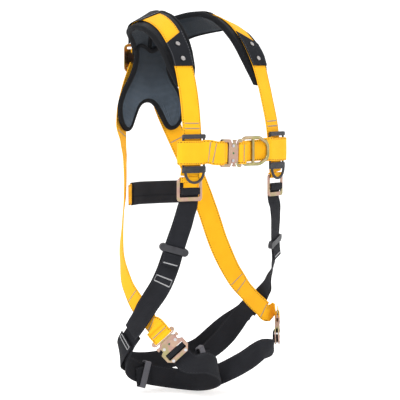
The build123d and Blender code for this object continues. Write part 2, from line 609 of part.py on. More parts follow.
across = Vector(0, 0, 1)
sleeve_end = [local_station(CHEST_BUCKLE, x, z, across) for x, z in ((34, 9.4), (15, 9.3))]
web_stations, eye = web_end(CHEST_BUCKLE, 1, across)
sleeve = sleeve_back["right"] + sleeve_end
webbing("chest_strap_right", sleeve + web_stations, [SLEEVE_WIDTH] * len(sleeve) + [WEB_WIDTH] * 2,
        [SLEEVE_THICK] * len(sleeve) + [WEB_THICK] * 2, eyes=[eye])
sleeve = sleeve_back["left"]
webbing("chest_strap_left", sleeve + CHEST_WEAVE, [SLEEVE_WIDTH] * len(sleeve) + [WEB_WIDTH] * len(CHEST_WEAVE),
        [SLEEVE_THICK] * len(sleeve) + [WEB_THICK] * len(CHEST_WEAVE))

# ---- sternal ring, threaded on the left chest strap ----
sternal_plane = Plane(origin=STERNAL_AT, x_dir=(0, 0, -1), z_dir=STERNAL_OUT)
d_ring("sternal_ring", sternal_plane, 28, 38, 3.6, slot=26)
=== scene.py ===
"""Full-body fall-arrest harness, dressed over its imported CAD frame.

Webbing, padding and stitching are built here as meshes in metres. The steel and plastic hardware
keeps its CAD shape and gets its finish here. X is the wearer's left, Y the wearer's back, Z up.
"""
import logging
import math
from dataclasses import dataclass, field
from enum import Enum
from typing import Sequence

import bmesh
import bpy
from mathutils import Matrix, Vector
from mathutils.geometry import delaunay_2d_cdt


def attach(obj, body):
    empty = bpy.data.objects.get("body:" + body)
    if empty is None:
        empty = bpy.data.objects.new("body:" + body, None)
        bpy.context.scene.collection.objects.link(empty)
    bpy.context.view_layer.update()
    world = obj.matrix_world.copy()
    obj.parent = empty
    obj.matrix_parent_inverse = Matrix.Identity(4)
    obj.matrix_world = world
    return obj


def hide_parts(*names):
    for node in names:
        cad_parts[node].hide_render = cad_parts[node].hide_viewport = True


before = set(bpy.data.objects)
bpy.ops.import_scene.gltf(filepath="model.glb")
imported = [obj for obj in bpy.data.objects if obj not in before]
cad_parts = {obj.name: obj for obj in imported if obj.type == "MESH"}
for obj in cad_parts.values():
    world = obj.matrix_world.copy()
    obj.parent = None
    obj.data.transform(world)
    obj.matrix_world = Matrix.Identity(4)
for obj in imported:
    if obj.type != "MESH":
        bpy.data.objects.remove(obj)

LOG = logging.getLogger("harness")
Station = tuple[float, ...]
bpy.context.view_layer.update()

WEB_WIDTH = 45.0
WEB_THICK = 2.2
SLEEVE_WIDTH = 50.0
PAD_THICK = 13.0


class Side(Enum):
    """The wearer's two sides, with the sign of X on each."""

    RIGHT = -1
    LEFT = 1

    @property
    def label(self) -> str:
        """The side's word in node names."""
        return self.name.lower()

    def station(self, values: Sequence[float]) -> Station:
        """A left-side point or station on this side.

        Args:
            values: x, y, z and, for a station, the direction across.

        Returns:
            The same values with both x parts turned to this side.
        """
        sign = self.value
        turned = [sign * values[0], *values[1:3]]
        if len(values) > 3:
            turned += [sign * values[3], *values[4:6]]
        return tuple(turned)


# ---- routes in millimetres: x, y, z and the direction across the webbing, on the wearer's left ----
SHOULDER_ROUTE: list[Station] = [
    (24, 174, 718, 1, -0.1, -0.2), (28, 170, 734, 1, -0.2, -0.3), (44, 152, 756, 1, -0.25, -0.3),
    (68, 124, 776, 1, -0.3, -0.3), (87, 90, 786, 1, -0.3, -0.34), (96, 58, 789, 1, -0.3, -0.38),
    (100, 26, 783, 1, -0.3, -0.44), (103, -4, 768, 1, -0.25, -0.45), (106, -32, 743, 1, -0.15, -0.42),
    (108, -53, 715, 1, -0.05, -0.3), (110, -68, 684, 1, 0.1, -0.12), (111, -80, 650, 1, 0.18, -0.04),
    (113, -91, 608, 1, 0.2, 0), (116, -99, 570, 1, 0.2, 0), (118, -104, 532, 1, 0.2, 0),
    (122, -105, 480, 1, 0.2, 0), (125, -103.2, 456, 1, 0.24, 0),
]
BACK_ROUTES: dict[Side, list[Station]] = {
    Side.LEFT: [
        (22, 181, 684, 1, -0.1, 0.3), (37, 184, 646, 1, -0.1, 0.38), (58, 183, 592, 1, -0.2, 0.4),
        (77, 170, 540, 1, -0.3, 0.38), (103, 153, 475, 1, -0.5, 0.35), (125, 142, 420, 1, -0.6, 0.3),
        (146, 130, 355, 0.9, -0.8, 0.2), (160, 110, 285, 0.7, -0.9, 0.3), (168, 68, 216, 0.3, -0.8, 0.5),
        (168, 25, 180, 0, -0.7, 0.7), (167.5, -14, 156, 0, -0.6, 0.75), (169, -38, 144, 0.1, -0.5, 0.75),
    ],
    Side.RIGHT: [
        (22, 181, 684, 1, -0.1, 0.3), (37, 184, 646, 1, -0.1, 0.38), (58, 183, 592, 1, -0.2, 0.4),
        (75, 172, 551, 1, -0.35, 0.38), (88, 149, 508, 1, -0.7, 0.36), (100, 131, 475, 1, -0.9, 0.35),
        (114, 114, 420, 1, -1.0, 0.3), (136, 96, 355, 0.8, -1.0, 0.2), (155, 78, 285, 0.6, -1.0, 0.3),
        (165, 48, 222, 0.2, -0.9, 0.5), (167, 16, 186, 0, -0.7, 0.7), (166.5, -18, 158, 0, -0.6, 0.75),
        (168, -38, 142, 0.1, -0.5, 0.75),
    ],
}
HIP_TOP: list[Station] = [
    (130, -98, 385, 1, 0.3, 0), (137, -93, 355, 1, 0.4, 0), (143, -86, 328, 1, 0.45, 0),
    (148, -80, 304, 1, 0.5, 0.05), (155, -71, 268, 0.9, 0.6, 0.12),
]
HIP_ROUTES: dict[Side, list[Station]] = {
    Side.LEFT: HIP_TOP + [
        (162, -57, 236, 0.75, 0.7, 0.25), (175, -31, 202, 0.4, 0.85, 0.38), (180.5, 2, 170, 0.12, 0.85, 0.5),
        (181, 32, 146, 0.0, 0.7, 0.7),
    ],
    Side.RIGHT: HIP_TOP + [
        (163, -55, 228, 0.75, 0.7, 0.25), (177.5, -30, 184, 0.4, 0.85, 0.38), (182, -6, 150, 0.12, 0.85, 0.5),
        (182, 18, 124, 0.0, 0.78, 0.62),
    ],
}
SEAT_ROUTE: list[Station] = [
    (-181.5, 32, 109, 0, 0.75, 0.65), (-173, 60, 84, 0, 0.4, 0.9), (-150, 88, 62, 0, 0.1, 1),
    (-108, 108, 46, 0, 0, 1), (-54, 118, 38, 0, 0, 1), (0, 121, 38, 0, 0, 1), (50, 120, 43, 0, 0, 1),
    (96, 112, 56, 0, 0, 1), (130, 101, 79, 0, 0.1, 1), (155, 84, 104, 0, 0.35, 0.9),
    (176.5, 60, 127, 0, 0.6, 0.8), (181, 42, 139, 0, 0.68, 0.73),
]
LEG_ROUTES: dict[Side, list[Station]] = {
    Side.LEFT: [
        (174, 24, 153, 0, 0.7, 0.7), (170, 44, 133, 0, 0.6, 0.75), (157, 62, 104, 0, 0.4, 0.9),
        (138, 75, 77, 0, 0.1, 1), (104, 86, 50, 0, 0, 1), (60, 80, 30, 0, 0, 1), (28, 60, 17, 0, 0, 1),
        (12, 26, 12, 0, 0, 1), (9, -12, 14, 0, 0, 1), (11, -44, 22, 0, 0.05, 1), (22, -72, 36, 0.1, 0.15, 1),
        (52, -90, 54, 0.2, 0.1, 1), (88, -99, 74, 0.3, 0.05, 0.95),
    ],
    Side.RIGHT: [
        (175, 12, 128, 0, 0.78, 0.62), (174, 36, 102, 0, 0.75, 0.66), (163, 60, 72, 0, 0.4, 0.9),
        (141, 80, 48, 0, 0.1, 1), (102, 94, 27, 0, 0, 1), (60, 90, 14, 0, 0, 1), (28, 66, 7, 0, 0, 1),
        (12, 28, 5, 0, 0, 1), (8, -12, 8, 0, 0, 1), (9, -46, 16, 0, 0.05, 1), (17, -76, 29, 0.1, 0.15, 1),
        (40, -97, 45, 0.2, 0.1, 1), (76, -105, 62, 0.3, 0.05, 0.95),
    ],
}
LUMBAR_ROUTE: list[Station] = [
    (-106, 111, 406, 0, 0, 1), (-84, 128, 407, 0, 0, 1), (-44, 144, 407, 0, 0, 1), (0, 152, 406, 0, 0, 1),
    (46, 156, 405, 0, 0, 1), (88, 153, 404, 0, 0, 1), (118, 138, 403, 0, 0, 1),
]
CHEST_WEAVE: list[Station] = [
    (71, -117, 506, 0, 0, 1), (41, -115.3, 505.2, 0, 0, 1), (27, -118, 505, 0, 0, 1),
    (15, -121.3, 504.5, 0, 0, 1), (7, -121.6, 504, 0, 0, 1),
]
CHEST_TURN: list[tuple[float, float]] = [
    (-18, -6.0), (4, -6.0), (24, -6.0), (31, -3.4), (33.6, 1.5), (31.8, 8.2), (24, 10.8), (4, 11), (-16, 11),
]


@dataclass(frozen=True)
class Place:
    """A local frame on a piece of hardware, in millimetres."""

    origin: Vector
    along: Vector
    across: Vector
    out: Vector

    @classmethod
    def make(cls, origin: Sequence[float], along: Sequence[float], out: Sequence[float]) -> "Place":
        """A frame from its origin and two directions.

        Args:
            origin: its middle.
            along: its x direction, turned square to out.
            out: its z direction.

        Returns:
            The frame.
        """
        z = Vector(out).normalized()
        x = (Vector(along) - z * Vector(along).dot(z)).normalized()
        return cls(Vector(origin), x, z.cross(x), z)

    def point(self, x: float, y: float, z: float) -> Vector:
        """The point x along, y across and z outward."""
        return self.origin + self.along * x + self.across * y + self.out * z

    def station(self, x: float, z: float, across: Vector | None = None) -> Station:
        """A route station x along and z outward, with the webbing's width across."""
        return (*self.point(x, 0, z), *(across or self.across))


LEG_PLACES: dict[Side, Place] = {
    Side.LEFT: Place.make((155, -81, 106), (-0.5, -0.46, -0.735), (0.68, -0.733, 0)),
    Side.RIGHT: Place.make((-151, -84, 97), (0.5, -0.46, -0.735), (-0.68, -0.733, 0)),
}
CHEST_PLACE = Place.make((-40, -125, 503), (-1, 0.1, 0.03), (-0.1, -1, 0))
UP = Vector((0, 0, 1))


def keeper_place(side: Side) -> Place:
    """The lanyard keeper's frame on one side."""
    return Place.make(side.station((119.5, -105, 506)), (0.978, side.value * 0.2, 0), side.station((0.2, -0.978, 0)))


def adjuster_place(side: Side) -> Place:
    """The torso adjuster's frame on one side."""
    return Place.make(side.station((125, -103, 429)), (0.97, side.value * 0.24, 0), side.station((0.24, -0.97, 0)))


# ---- node helpers ----
class Graph:
    """A short way to place and wire shader nodes in one tree."""

    def __init__(self, tree: bpy.types.NodeTree) -> None:
        """Args: tree: the node tree that the nodes go in."""
        self.tree = tree

    def add(self, kind: str, **settings: object) -> bpy.types.Node:
        """A new node.

        Args:
            kind: its type name.
            settings: its properties, or its inputs by name under the key "inputs".

        Returns:
            The node.
        """
        node = self.tree.nodes.new(kind)
        for name, value in settings.pop("inputs", {}).items():
            self.feed(node.inputs[name], value)
        for name, value in settings.items():
            setattr(node, name, value)
        return node

    def feed(self, socket: bpy.types.NodeSocket, value: object) -> None:
        """Link a socket to the value, or set it.

        Args:
            socket: the input.
            value: an output socket to link, or a plain value.
        """
        if isinstance(value, bpy.types.NodeSocket):
            self.tree.links.new(value, socket)
        else:
            socket.default_value = value

    def math(self, operation: str, a: object, b: object = 0.0, c: object = 0.0) -> bpy.types.NodeSocket:
        """One Math node's result.

        Args:
            operation: what the node works out.
            a: its first input.
            b: its second input.
            c: its third input.

        Returns:
            Its output.
        """
        node = self.add("ShaderNodeMath", operation=operation)
        for socket, value in zip(node.inputs, (a, b, c)):
            self.feed(socket, value)
        return node.outputs[0]

    def blend(self, factor: object, a: object, b: object, kind: str = "MIX") -> bpy.types.NodeSocket:
        """Two colours mixed by a factor.

        Args:
            factor: how far the mix goes to b.
            a: the first colour.
            b: the second colour.
            kind: the blend type.

        Returns:
            The mixed colour.
        """
        node = self.add("ShaderNodeMix", data_type="RGBA", blend_type=kind)
        for index, value in ((0, factor), (6, a), (7, b)):
            self.feed(node.inputs[index], value)
        return node.outputs[2]

    def span(self, value: object, low: float, high: float, to_low: float = 0.0,
             to_high: float = 1.0) -> bpy.types.NodeSocket:
        """A value moved from one range to another, and kept inside it.

        Args:
            value: what is moved.
            low: where its range starts.
            high: where its range ends.
            to_low: where the new range starts.
            to_high: where the new range ends.

        Returns:
            The moved value.
        """
        node = self.add("ShaderNodeMapRange", clamp=True)
        for socket, entry in zip(node.inputs, (value, low, high, to_low, to_high)):
            self.feed(socket, entry)
        return node.outputs[0]


def make_group(name: str, inputs: dict[str, tuple],
               outputs: dict[str, str]) -> tuple[bpy.types.NodeTree, Graph, dict, dict]:
    """An empty node group with its sockets.

    Args:
        name: the group's name.
        inputs: socket name to (socket type, default).
        outputs: socket name to socket type.

    Returns:
        The tree, its graph, the input sockets by name and the output sockets by name.
    """
    tree = bpy.data.node_groups.new(name, "ShaderNodeTree")
    for label, (kind, default) in inputs.items():
        tree.interface.new_socket(label, in_out="INPUT", socket_type=kind).default_value = default
    for label, kind in outputs.items():
        tree.interface.new_socket(label, in_out="OUTPUT", socket_type=kind)
    graph = Graph(tree)
    start, end = graph.add("NodeGroupInput"), graph.add("NodeGroupOutput")
    return tree, graph, {s.name: s for s in start.outputs}, {s.name: s for s in end.inputs}


def colour(red: float, green: float, blue: float) -> tuple[float, float, float, float]:
    """An opaque colour."""
    return (red, green, blue, 1.0)


def weave_group() -> bpy.types.NodeTree:
    """The woven surface of webbing: herringbone ribs with painted shade between them, fibre, soiling, painted shade
    along the selvedge and a tracer thread at each edge.

    Returns:
        The group, made once.
    """
    if "Webbing weave" in bpy.data.node_groups:
        return bpy.data.node_groups["Webbing weave"]
    colour_type, value_type = "NodeSocketColor", "NodeSocketFloat"
    tree, g, source, sink = make_group(
        "Webbing weave",
        {"Yarn": (colour_type, colour(0.9, 0.6, 0.05)), "Shade": (colour_type, colour(0.6, 0.3, 0.0)),
         "Tracer": (colour_type, colour(0.02, 0.02, 0.02)), "Tracer amount": (value_type, 1.0),
         "Pitch": (value_type, 0.0016), "Tracer inset": (value_type, 0.0029)},
        {"Color": colour_type, "Height": value_type, "Roughness": value_type})
    uv = g.add("ShaderNodeUVMap", uv_map="Flat").outputs[0]
    parts = g.add("ShaderNodeSeparateXYZ")
    g.feed(parts.inputs[0], uv)
    across, run = parts.outputs[0], parts.outputs[1]
    slant = g.math("MULTIPLY", g.math("PINGPONG", across, 0.0045), 0.55)
    ribs = g.math("SINE", g.math("MULTIPLY", g.math("DIVIDE", g.math("ADD", run, slant), source["Pitch"]), 6.2832))
    columns = g.math("SINE", g.math("MULTIPLY", across, 6.2832 / 0.0015))
    weave = g.math("ADD", g.math("MULTIPLY", ribs, 0.34), g.math("MULTIPLY", columns, 0.16))
    height = g.math("ADD", weave, 0.5)
    cloud = g.add("ShaderNodeTexNoise", inputs={"Scale": 26.0, "Detail": 3.0})
    g.feed(cloud.inputs["Vector"], g.add("ShaderNodeTexCoord").outputs["Object"])
    fibre = g.add("ShaderNodeTexNoise", inputs={"Scale": 1400.0, "Detail": 2.0})
    g.feed(fibre.inputs["Vector"], g.add("ShaderNodeTexCoord").outputs["Object"])
    # painted shade: the yarn goes toward the Shade colour where the weave is low, between the ribs
    low = g.span(height, 0.1, 0.75, 0.0, 0.62)
    tone = g.math("ADD", low, g.math("MULTIPLY", g.math("SUBTRACT", fibre.outputs[0], 0.5), 0.5))
    tone = g.math("ADD", tone, g.math("MULTIPLY", cloud.outputs[0], 0.55))
    cloth = g.blend(g.span(tone, 0.15, 1.05), source["Shade"], source["Yarn"])
    edge = g.add("ShaderNodeAttribute", attribute_name="edge").outputs["Fac"]
    line = g.math("LESS_THAN", g.math("ABSOLUTE", g.math("SUBTRACT", edge, source["Tracer inset"])), 0.00072)
    dash = g.math("LESS_THAN", g.math("FRACT", g.math("DIVIDE", run, 0.0056)), 0.6)
    tracer = g.math("MULTIPLY", g.math("MULTIPLY", line, dash), source["Tracer amount"])
    # painted shade along the rounded selvedge: the last 1.6 mm at each edge goes up to 28% toward the Shade colour
    selvedge = g.span(edge, 0.0, 0.0016, 0.72, 1.0)
    shaded = g.blend(g.math("SUBTRACT", 1.0, selvedge), cloth, source["Shade"])
    g.feed(sink["Color"], g.blend(tracer, shaded, source["Tracer"]))
    g.feed(sink["Height"], g.math("ADD", height, g.math("MULTIPLY", tracer, 0.6)))
    g.feed(sink["Roughness"], g.span(tone, 0.0, 1.2, 0.78, 0.9))
    return tree


def surface_group() -> bpy.types.NodeTree:
    """Blotches, fine scratches and grain for metal and plastic.

    Returns:
        The group, made once.
    """
    if "Handled surface" in bpy.data.node_groups:
        return bpy.data.node_groups["Handled surface"]
    colour_type, value_type = "NodeSocketColor", "NodeSocketFloat"
    tree, g, source, sink = make_group(
        "Handled surface",
        {"First": (colour_type, colour(0.8, 0.7, 0.5)), "Second": (colour_type, colour(0.8, 0.6, 0.5)),
         "Third": (colour_type, colour(0.7, 0.7, 0.5)), "Blotch scale": (value_type, 60.0),
         "Grain scale": (value_type, 1800.0), "Low roughness": (value_type, 0.25), "High roughness": (value_type, 0.4)},
        {"Color": colour_type, "Height": value_type, "Roughness": value_type})
    place = g.add("ShaderNodeTexCoord").outputs["Object"]
    blotch = g.add("ShaderNodeTexNoise", inputs={"Detail": 4.0, "Distortion": 0.6})
    other = g.add("ShaderNodeTexNoise", inputs={"Detail": 2.0, "Distortion": 1.2})
    grain = g.add("ShaderNodeTexNoise", inputs={"Detail": 2.0})
    for node, scale in ((blotch, source["Blotch scale"]), (grain, source["Grain scale"])):
        g.feed(node.inputs["Vector"], place)
        g.feed(node.inputs["Scale"], scale)
    g.feed(other.inputs["Vector"], place)
    g.feed(other.inputs["Scale"], g.math("MULTIPLY", source["Blotch scale"], 0.45))
    scratch = g.add("ShaderNodeTexWave", inputs={"Scale": 90.0, "Distortion": 14.0, "Detail": 3.0})
    g.feed(scratch.inputs["Vector"], place)
    first = g.blend(g.span(blotch.outputs[0], 0.42, 0.6), source["First"], source["Second"])
    g.feed(sink["Color"], g.blend(g.span(other.outputs[0], 0.5, 0.68), first, source["Third"]))
    g.feed(sink["Height"], g.math("ADD", grain.outputs[0], g.math("MULTIPLY", g.span(scratch.outputs[1], 0.93,
                                                                                     1.0), 0.5)))
    mixed = g.math("ADD", g.math("MULTIPLY", blotch.outputs[0], 0.6), g.math("MULTIPLY", grain.outputs[0], 0.4))
    node = g.add("ShaderNodeMapRange", clamp=True)
    for socket, entry in zip(node.inputs, (mixed, 0.35, 0.65, source["Low roughness"], source["High roughness"])):
        g.feed(socket, entry)
    g.feed(sink["Roughness"], node.outputs[0])
    return tree


@dataclass(frozen=True)
class Finish:
    """One finish: its name, the record's slot, and the numbers that stay the same all over it."""

    name: str
    slot: str
    bump: float = 0.3
    distance: float = 0.0004

    def tree(self) -> tuple[bpy.types.Material, Graph, bpy.types.Node]:
        """A new material with its Principled shader.

        Returns:
            The material, its graph and the shader node.
        """
        material = bpy.data.materials.new(self.name)
        material.use_nodes = True
        graph = Graph(material.node_tree)
        return material, graph, material.node_tree.nodes["Principled BSDF"]

    def use(self, group: bpy.types.NodeTree, values: dict[str, object], metallic: float = 0.0,
            sheen: float = 0.0, coat: float = 0.0, gloss: float = 0.5) -> bpy.types.Material:
        """A material whose colour, roughness and bump come from one group.

        Args:
            group: a group with Color, Height and Roughness outputs.
            values: the group's input values.
            metallic: the shader's metallic value.
            sheen: the shader's sheen weight.
            coat: the shader's coat weight.
            gloss: the shader's specular level.

        Returns:
            The material.
        """
        material, graph, shader = self.tree()
        node = graph.add("ShaderNodeGroup", node_tree=group)
        for name, value in values.items():
            node.inputs[name].default_value = value
        graph.feed(shader.inputs["Base Color"], node.outputs["Color"])
        graph.feed(shader.inputs["Roughness"], node.outputs["Roughness"])
        bump = graph.add("ShaderNodeBump", inputs={"Strength": self.bump, "Distance": self.distance})
        graph.feed(bump.inputs["Height"], node.outputs["Height"])
        graph.feed(shader.inputs["Normal"], bump.outputs[0])
        shader.inputs["Metallic"].default_value = metallic
        shader.inputs["Sheen Weight"].default_value = sheen
        shader.inputs["Coat Weight"].default_value = coat
        shader.inputs["Specular IOR Level"].default_value = gloss
        return material

    def material(self) -> bpy.types.Material:
        """The finish's material, made once."""
        return bpy.data.materials.get(self.name) or self.build()

    def build(self) -> bpy.types.Material:
        """Make the material; each kind of finish has its own."""
        raise NotImplementedError


@dataclass(frozen=True)
class Webbing(Finish):
    """Woven strap: yarn colour, the shade between its ribs and the tracer thread."""

    yarn: tuple = colour(0.9, 0.6, 0.05)
    shade: tuple = colour(0.6, 0.35, 0.02)
    tracer: tuple = colour(0.075, 0.045, 0.012)
    tracer_amount: float = 1.0
    pitch: float = 0.0016
    sheen: float = 0.12

    def build(self) -> bpy.types.Material:
        """The woven material.

        Returns:
            The material.
        """
        values = {"Yarn": self.yarn, "Shade": self.shade, "Tracer": self.tracer,
                  "Tracer amount": self.tracer_amount, "Pitch": self.pitch}
        return self.use(weave_group(), values, sheen=self.sheen, gloss=0.16)


@dataclass(frozen=True)
class Handled(Finish):
    """Metal or plastic with blotches, grain and scratches."""

    first: tuple = colour(0.8, 0.7, 0.5)
    second: tuple = colour(0.8, 0.6, 0.5)
    third: tuple = colour(0.7, 0.7, 0.5)
    blotch: float = 60.0
    low: float = 0.25
    high: float = 0.42
    metallic: float = 1.0
    coat: float = 0.0

    def build(self) -> bpy.types.Material:
        """The metal or plastic material.

        Returns:
            The material.
        """
        values = {"First": self.first, "Second": self.second, "Third": self.third, "Blotch scale": self.blotch,
                  "Low roughness": self.low, "High roughness": self.high}
        return self.use(surface_group(), values, metallic=self.metallic, coat=self.coat)


@dataclass(frozen=True)
class PadCloth(Finish):
    """The yoke's cloth: black cover outside and slate spacer mesh on the wearer's side."""

    cover: tuple = colour(0.008, 0.009, 0.011)
    mesh: tuple = colour(0.10, 0.135, 0.18)
    hollow: tuple = colour(0.008, 0.011, 0.015)
    cell: float = 0.0048

    def build(self) -> bpy.types.Material:
        """The two-cloth material, split by the piece's own lining attribute, with painted shade over the lining's upper
        part.

        Returns:
            The material.
        """
        material, g, shader = self.tree()
        place = g.add("ShaderNodeTexCoord").outputs["Object"]
        parts = g.add("ShaderNodeSeparateXYZ")
        g.feed(parts.inputs[0], place)
        width = g.math("ADD", parts.outputs[0], g.math("MULTIPLY", parts.outputs[1], 0.8))
        height = g.math("SUBTRACT", parts.outputs[2], g.math("MULTIPLY", parts.outputs[1], 0.35))
        turn = 6.2832 / self.cell
        one = g.math("SINE", g.math("MULTIPLY", g.math("ADD", width, g.math("MULTIPLY", height, 0.9)), turn))
        two = g.math("SINE", g.math("MULTIPLY", g.math("SUBTRACT", width, g.math("MULTIPLY", height, 0.9)), turn))
        holes = g.span(g.math("MULTIPLY", one, two), -0.35, 0.55)
        cloud = g.add("ShaderNodeTexNoise", inputs={"Scale": 22.0, "Detail": 3.0})
        fibre = g.add("ShaderNodeTexNoise", inputs={"Scale": 900.0, "Detail": 3.0})
        g.feed(cloud.inputs["Vector"], place)
        g.feed(fibre.inputs["Vector"], place)
        lining = g.add("ShaderNodeAttribute", attribute_name="lining").outputs["Fac"]
        # painted shade: the mesh lining darkens up to 85% toward near-black slate from 0.60 m to 0.69 m up, so only the
        # low lobes keep the lighter mesh colour
        upper_shade = g.span(parts.outputs[2], 0.60, 0.69, 0.0, 0.85)
        net = g.blend(holes, self.mesh, self.hollow)
        net = g.blend(upper_shade, net, colour(0.011, 0.014, 0.018))
        net = g.blend(g.span(cloud.outputs[0], 0.35, 0.7, 0.0, 0.3), net, self.hollow)
        cover = g.blend(g.span(fibre.outputs[0], 0.35, 0.7, 0.0, 0.5), self.cover, colour(0.018, 0.019, 0.023))
        g.feed(shader.inputs["Base Color"], g.blend(lining, cover, net))
        g.feed(shader.inputs["Roughness"], g.span(fibre.outputs[0], 0.3, 0.7, 0.66, 0.84))
        relief = g.math("MULTIPLY", g.math("MULTIPLY", holes, -0.8), lining)
        bump = g.add("ShaderNodeBump", inputs={"Strength": self.bump, "Distance": self.distance})
        g.feed(bump.inputs["Height"], g.math("ADD", relief, g.math("MULTIPLY", fibre.outputs[0], 0.5)))
        g.feed(shader.inputs["Normal"], bump.outputs[0])
        shader.inputs["Sheen Weight"].default_value = 0.03
        shader.inputs["Specular IOR Level"].default_value = 0.14
        return material


YELLOW_WEB = Webbing("Yellow webbing", "yellow_webbing", 0.45, 0.0005, yarn=colour(0.98, 0.50, 0.016),
                     shade=colour(0.74, 0.31, 0.004), sheen=0.03)
BLACK_WEB = Webbing("Black webbing", "black_webbing", 0.8, 0.0006, yarn=colour(0.020, 0.021, 0.026),
                    shade=colour(0.003, 0.003, 0.004), tracer=colour(0.05, 0.05, 0.055), tracer_amount=0.3, pitch=0.0028,
                    sheen=0.0)
BLACK_TAPE = Webbing("Black binding tape", "pad_fabric", 0.5, 0.0004, yarn=colour(0.008, 0.009, 0.011),
                     shade=colour(0.004, 0.004, 0.005), tracer_amount=0.0, pitch=0.0012, sheen=0.0)
FLAP_CLOTH = Webbing("Flap cloth", "flap_fabric", 0.35, 0.0003, yarn=colour(0.013, 0.014, 0.018),
                     shade=colour(0.005, 0.006, 0.008), tracer=colour(0.10, 0.10, 0.11), tracer_amount=0.8, pitch=0.0009,
                     sheen=0.0)
GREY_ELASTIC = Webbing("Grey elastic", "grey_elastic", 0.8, 0.0006, yarn=colour(0.16, 0.16, 0.18),
                       shade=colour(0.04, 0.04, 0.05), tracer_amount=0.0, pitch=0.0024)
GREY_THREAD = Webbing("Grey thread", "yellow_webbing", 0.3, 0.0002, yarn=colour(0.36, 0.34, 0.30),
                      shade=colour(0.24, 0.22, 0.19), tracer_amount=0.0, pitch=0.0006, sheen=0.0)
PALE_THREAD = Webbing("Pale thread", "black_webbing", 0.3, 0.0002, yarn=colour(0.55, 0.55, 0.56),
                      shade=colour(0.28, 0.28, 0.29), tracer_amount=0.0, pitch=0.0006)
PAD_CLOTH = PadCloth("Yoke cloth", "pad_fabric", 0.6, 0.0008)
PLATED_STEEL = Handled("Yellow plated steel", "plated_steel", 0.12, 0.0002, first=colour(0.44, 0.30, 0.22),
                       second=colour(0.40, 0.25, 0.21), third=colour(0.34, 0.30, 0.15), low=0.26, high=0.42)
RING_STEEL = Handled("Gold plated ring", "plated_steel", 0.12, 0.0002, first=colour(0.34, 0.30, 0.13),
                     second=colour(0.27, 0.26, 0.11), third=colour(0.40, 0.30, 0.18), low=0.24, high=0.38)
BRIGHT_STEEL = Handled("Bright steel", "rivet_steel", 0.1, 0.0002, first=colour(0.52, 0.52, 0.53),
                       second=colour(0.44, 0.44, 0.46), third=colour(0.56, 0.55, 0.53), low=0.18, high=0.32)
SNAP_STEEL = Handled("Snap steel", "snap_metal", 0.1, 0.0002, first=colour(0.42, 0.40, 0.39),
                     second=colour(0.33, 0.31, 0.31), third=colour(0.48, 0.46, 0.44), low=0.22, high=0.4)
DARK_PLASTIC = Handled("Dark plastic", "dark_plastic", 0.3, 0.0002, first=colour(0.016, 0.016, 0.021),
                       second=colour(0.011, 0.011, 0.015), third=colour(0.021, 0.021, 0.026), low=0.4, high=0.58,
                       metallic=0.0)
GREEN_DOT = Handled("Green enamel", "plated_steel", 0.1, 0.0001, first=colour(0.01, 0.16, 0.04),
                    second=colour(0.01, 0.12, 0.03), third=colour(0.015, 0.2, 0.06), low=0.3, high=0.45, metallic=0.0)


# ---- meshes ----
@dataclass
class Section:
    """One cross-section's place on a ribbon, in millimetres."""

    point: Vector
    across: Vector
    travel: Vector
    out: Vector
    run: float
    width: float
    thick: float


class PieceMaker:
    """Turns vertex and face lists into finished pieces."""

    @staticmethod
    def mesh(name: str, points: Sequence[Vector], faces: Sequence[Sequence[int]], finish: Finish,
             body: str = "harness") -> bpy.types.Object:
        """A piece from points in millimetres.

        Args:
            name: the piece's name.
            points: its vertices.
            faces: its faces as vertex numbers.
            finish: its finish.
            body: the CAD body that it rides on; "" leaves it free for a blend.

        Returns:
            The piece.
        """
        data = bpy.data.meshes.new(name)
        data.from_pydata([tuple(c / 1000 for c in p) for p in points], [], [list(f) for f in faces])
        obj = bpy.data.objects.new(name, data)
        bpy.context.scene.collection.objects.link(obj)
        return PieceMaker.dress(obj, finish, body)

    @staticmethod
    def dress(obj: bpy.types.Object, finish: Finish, body: str = "harness") -> bpy.types.Object:
        """Give a piece its finish, smooth shading and body.

        Args:
            obj: the piece.
            finish: its finish.
            body: the CAD body that it rides on.

        Returns:
            The same piece.
        """
        obj.data.materials.clear()
        obj.data.materials.append(finish.material())
        for polygon in obj.data.polygons:
            polygon.use_smooth = True
        if body:
            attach(obj, body)
        return obj


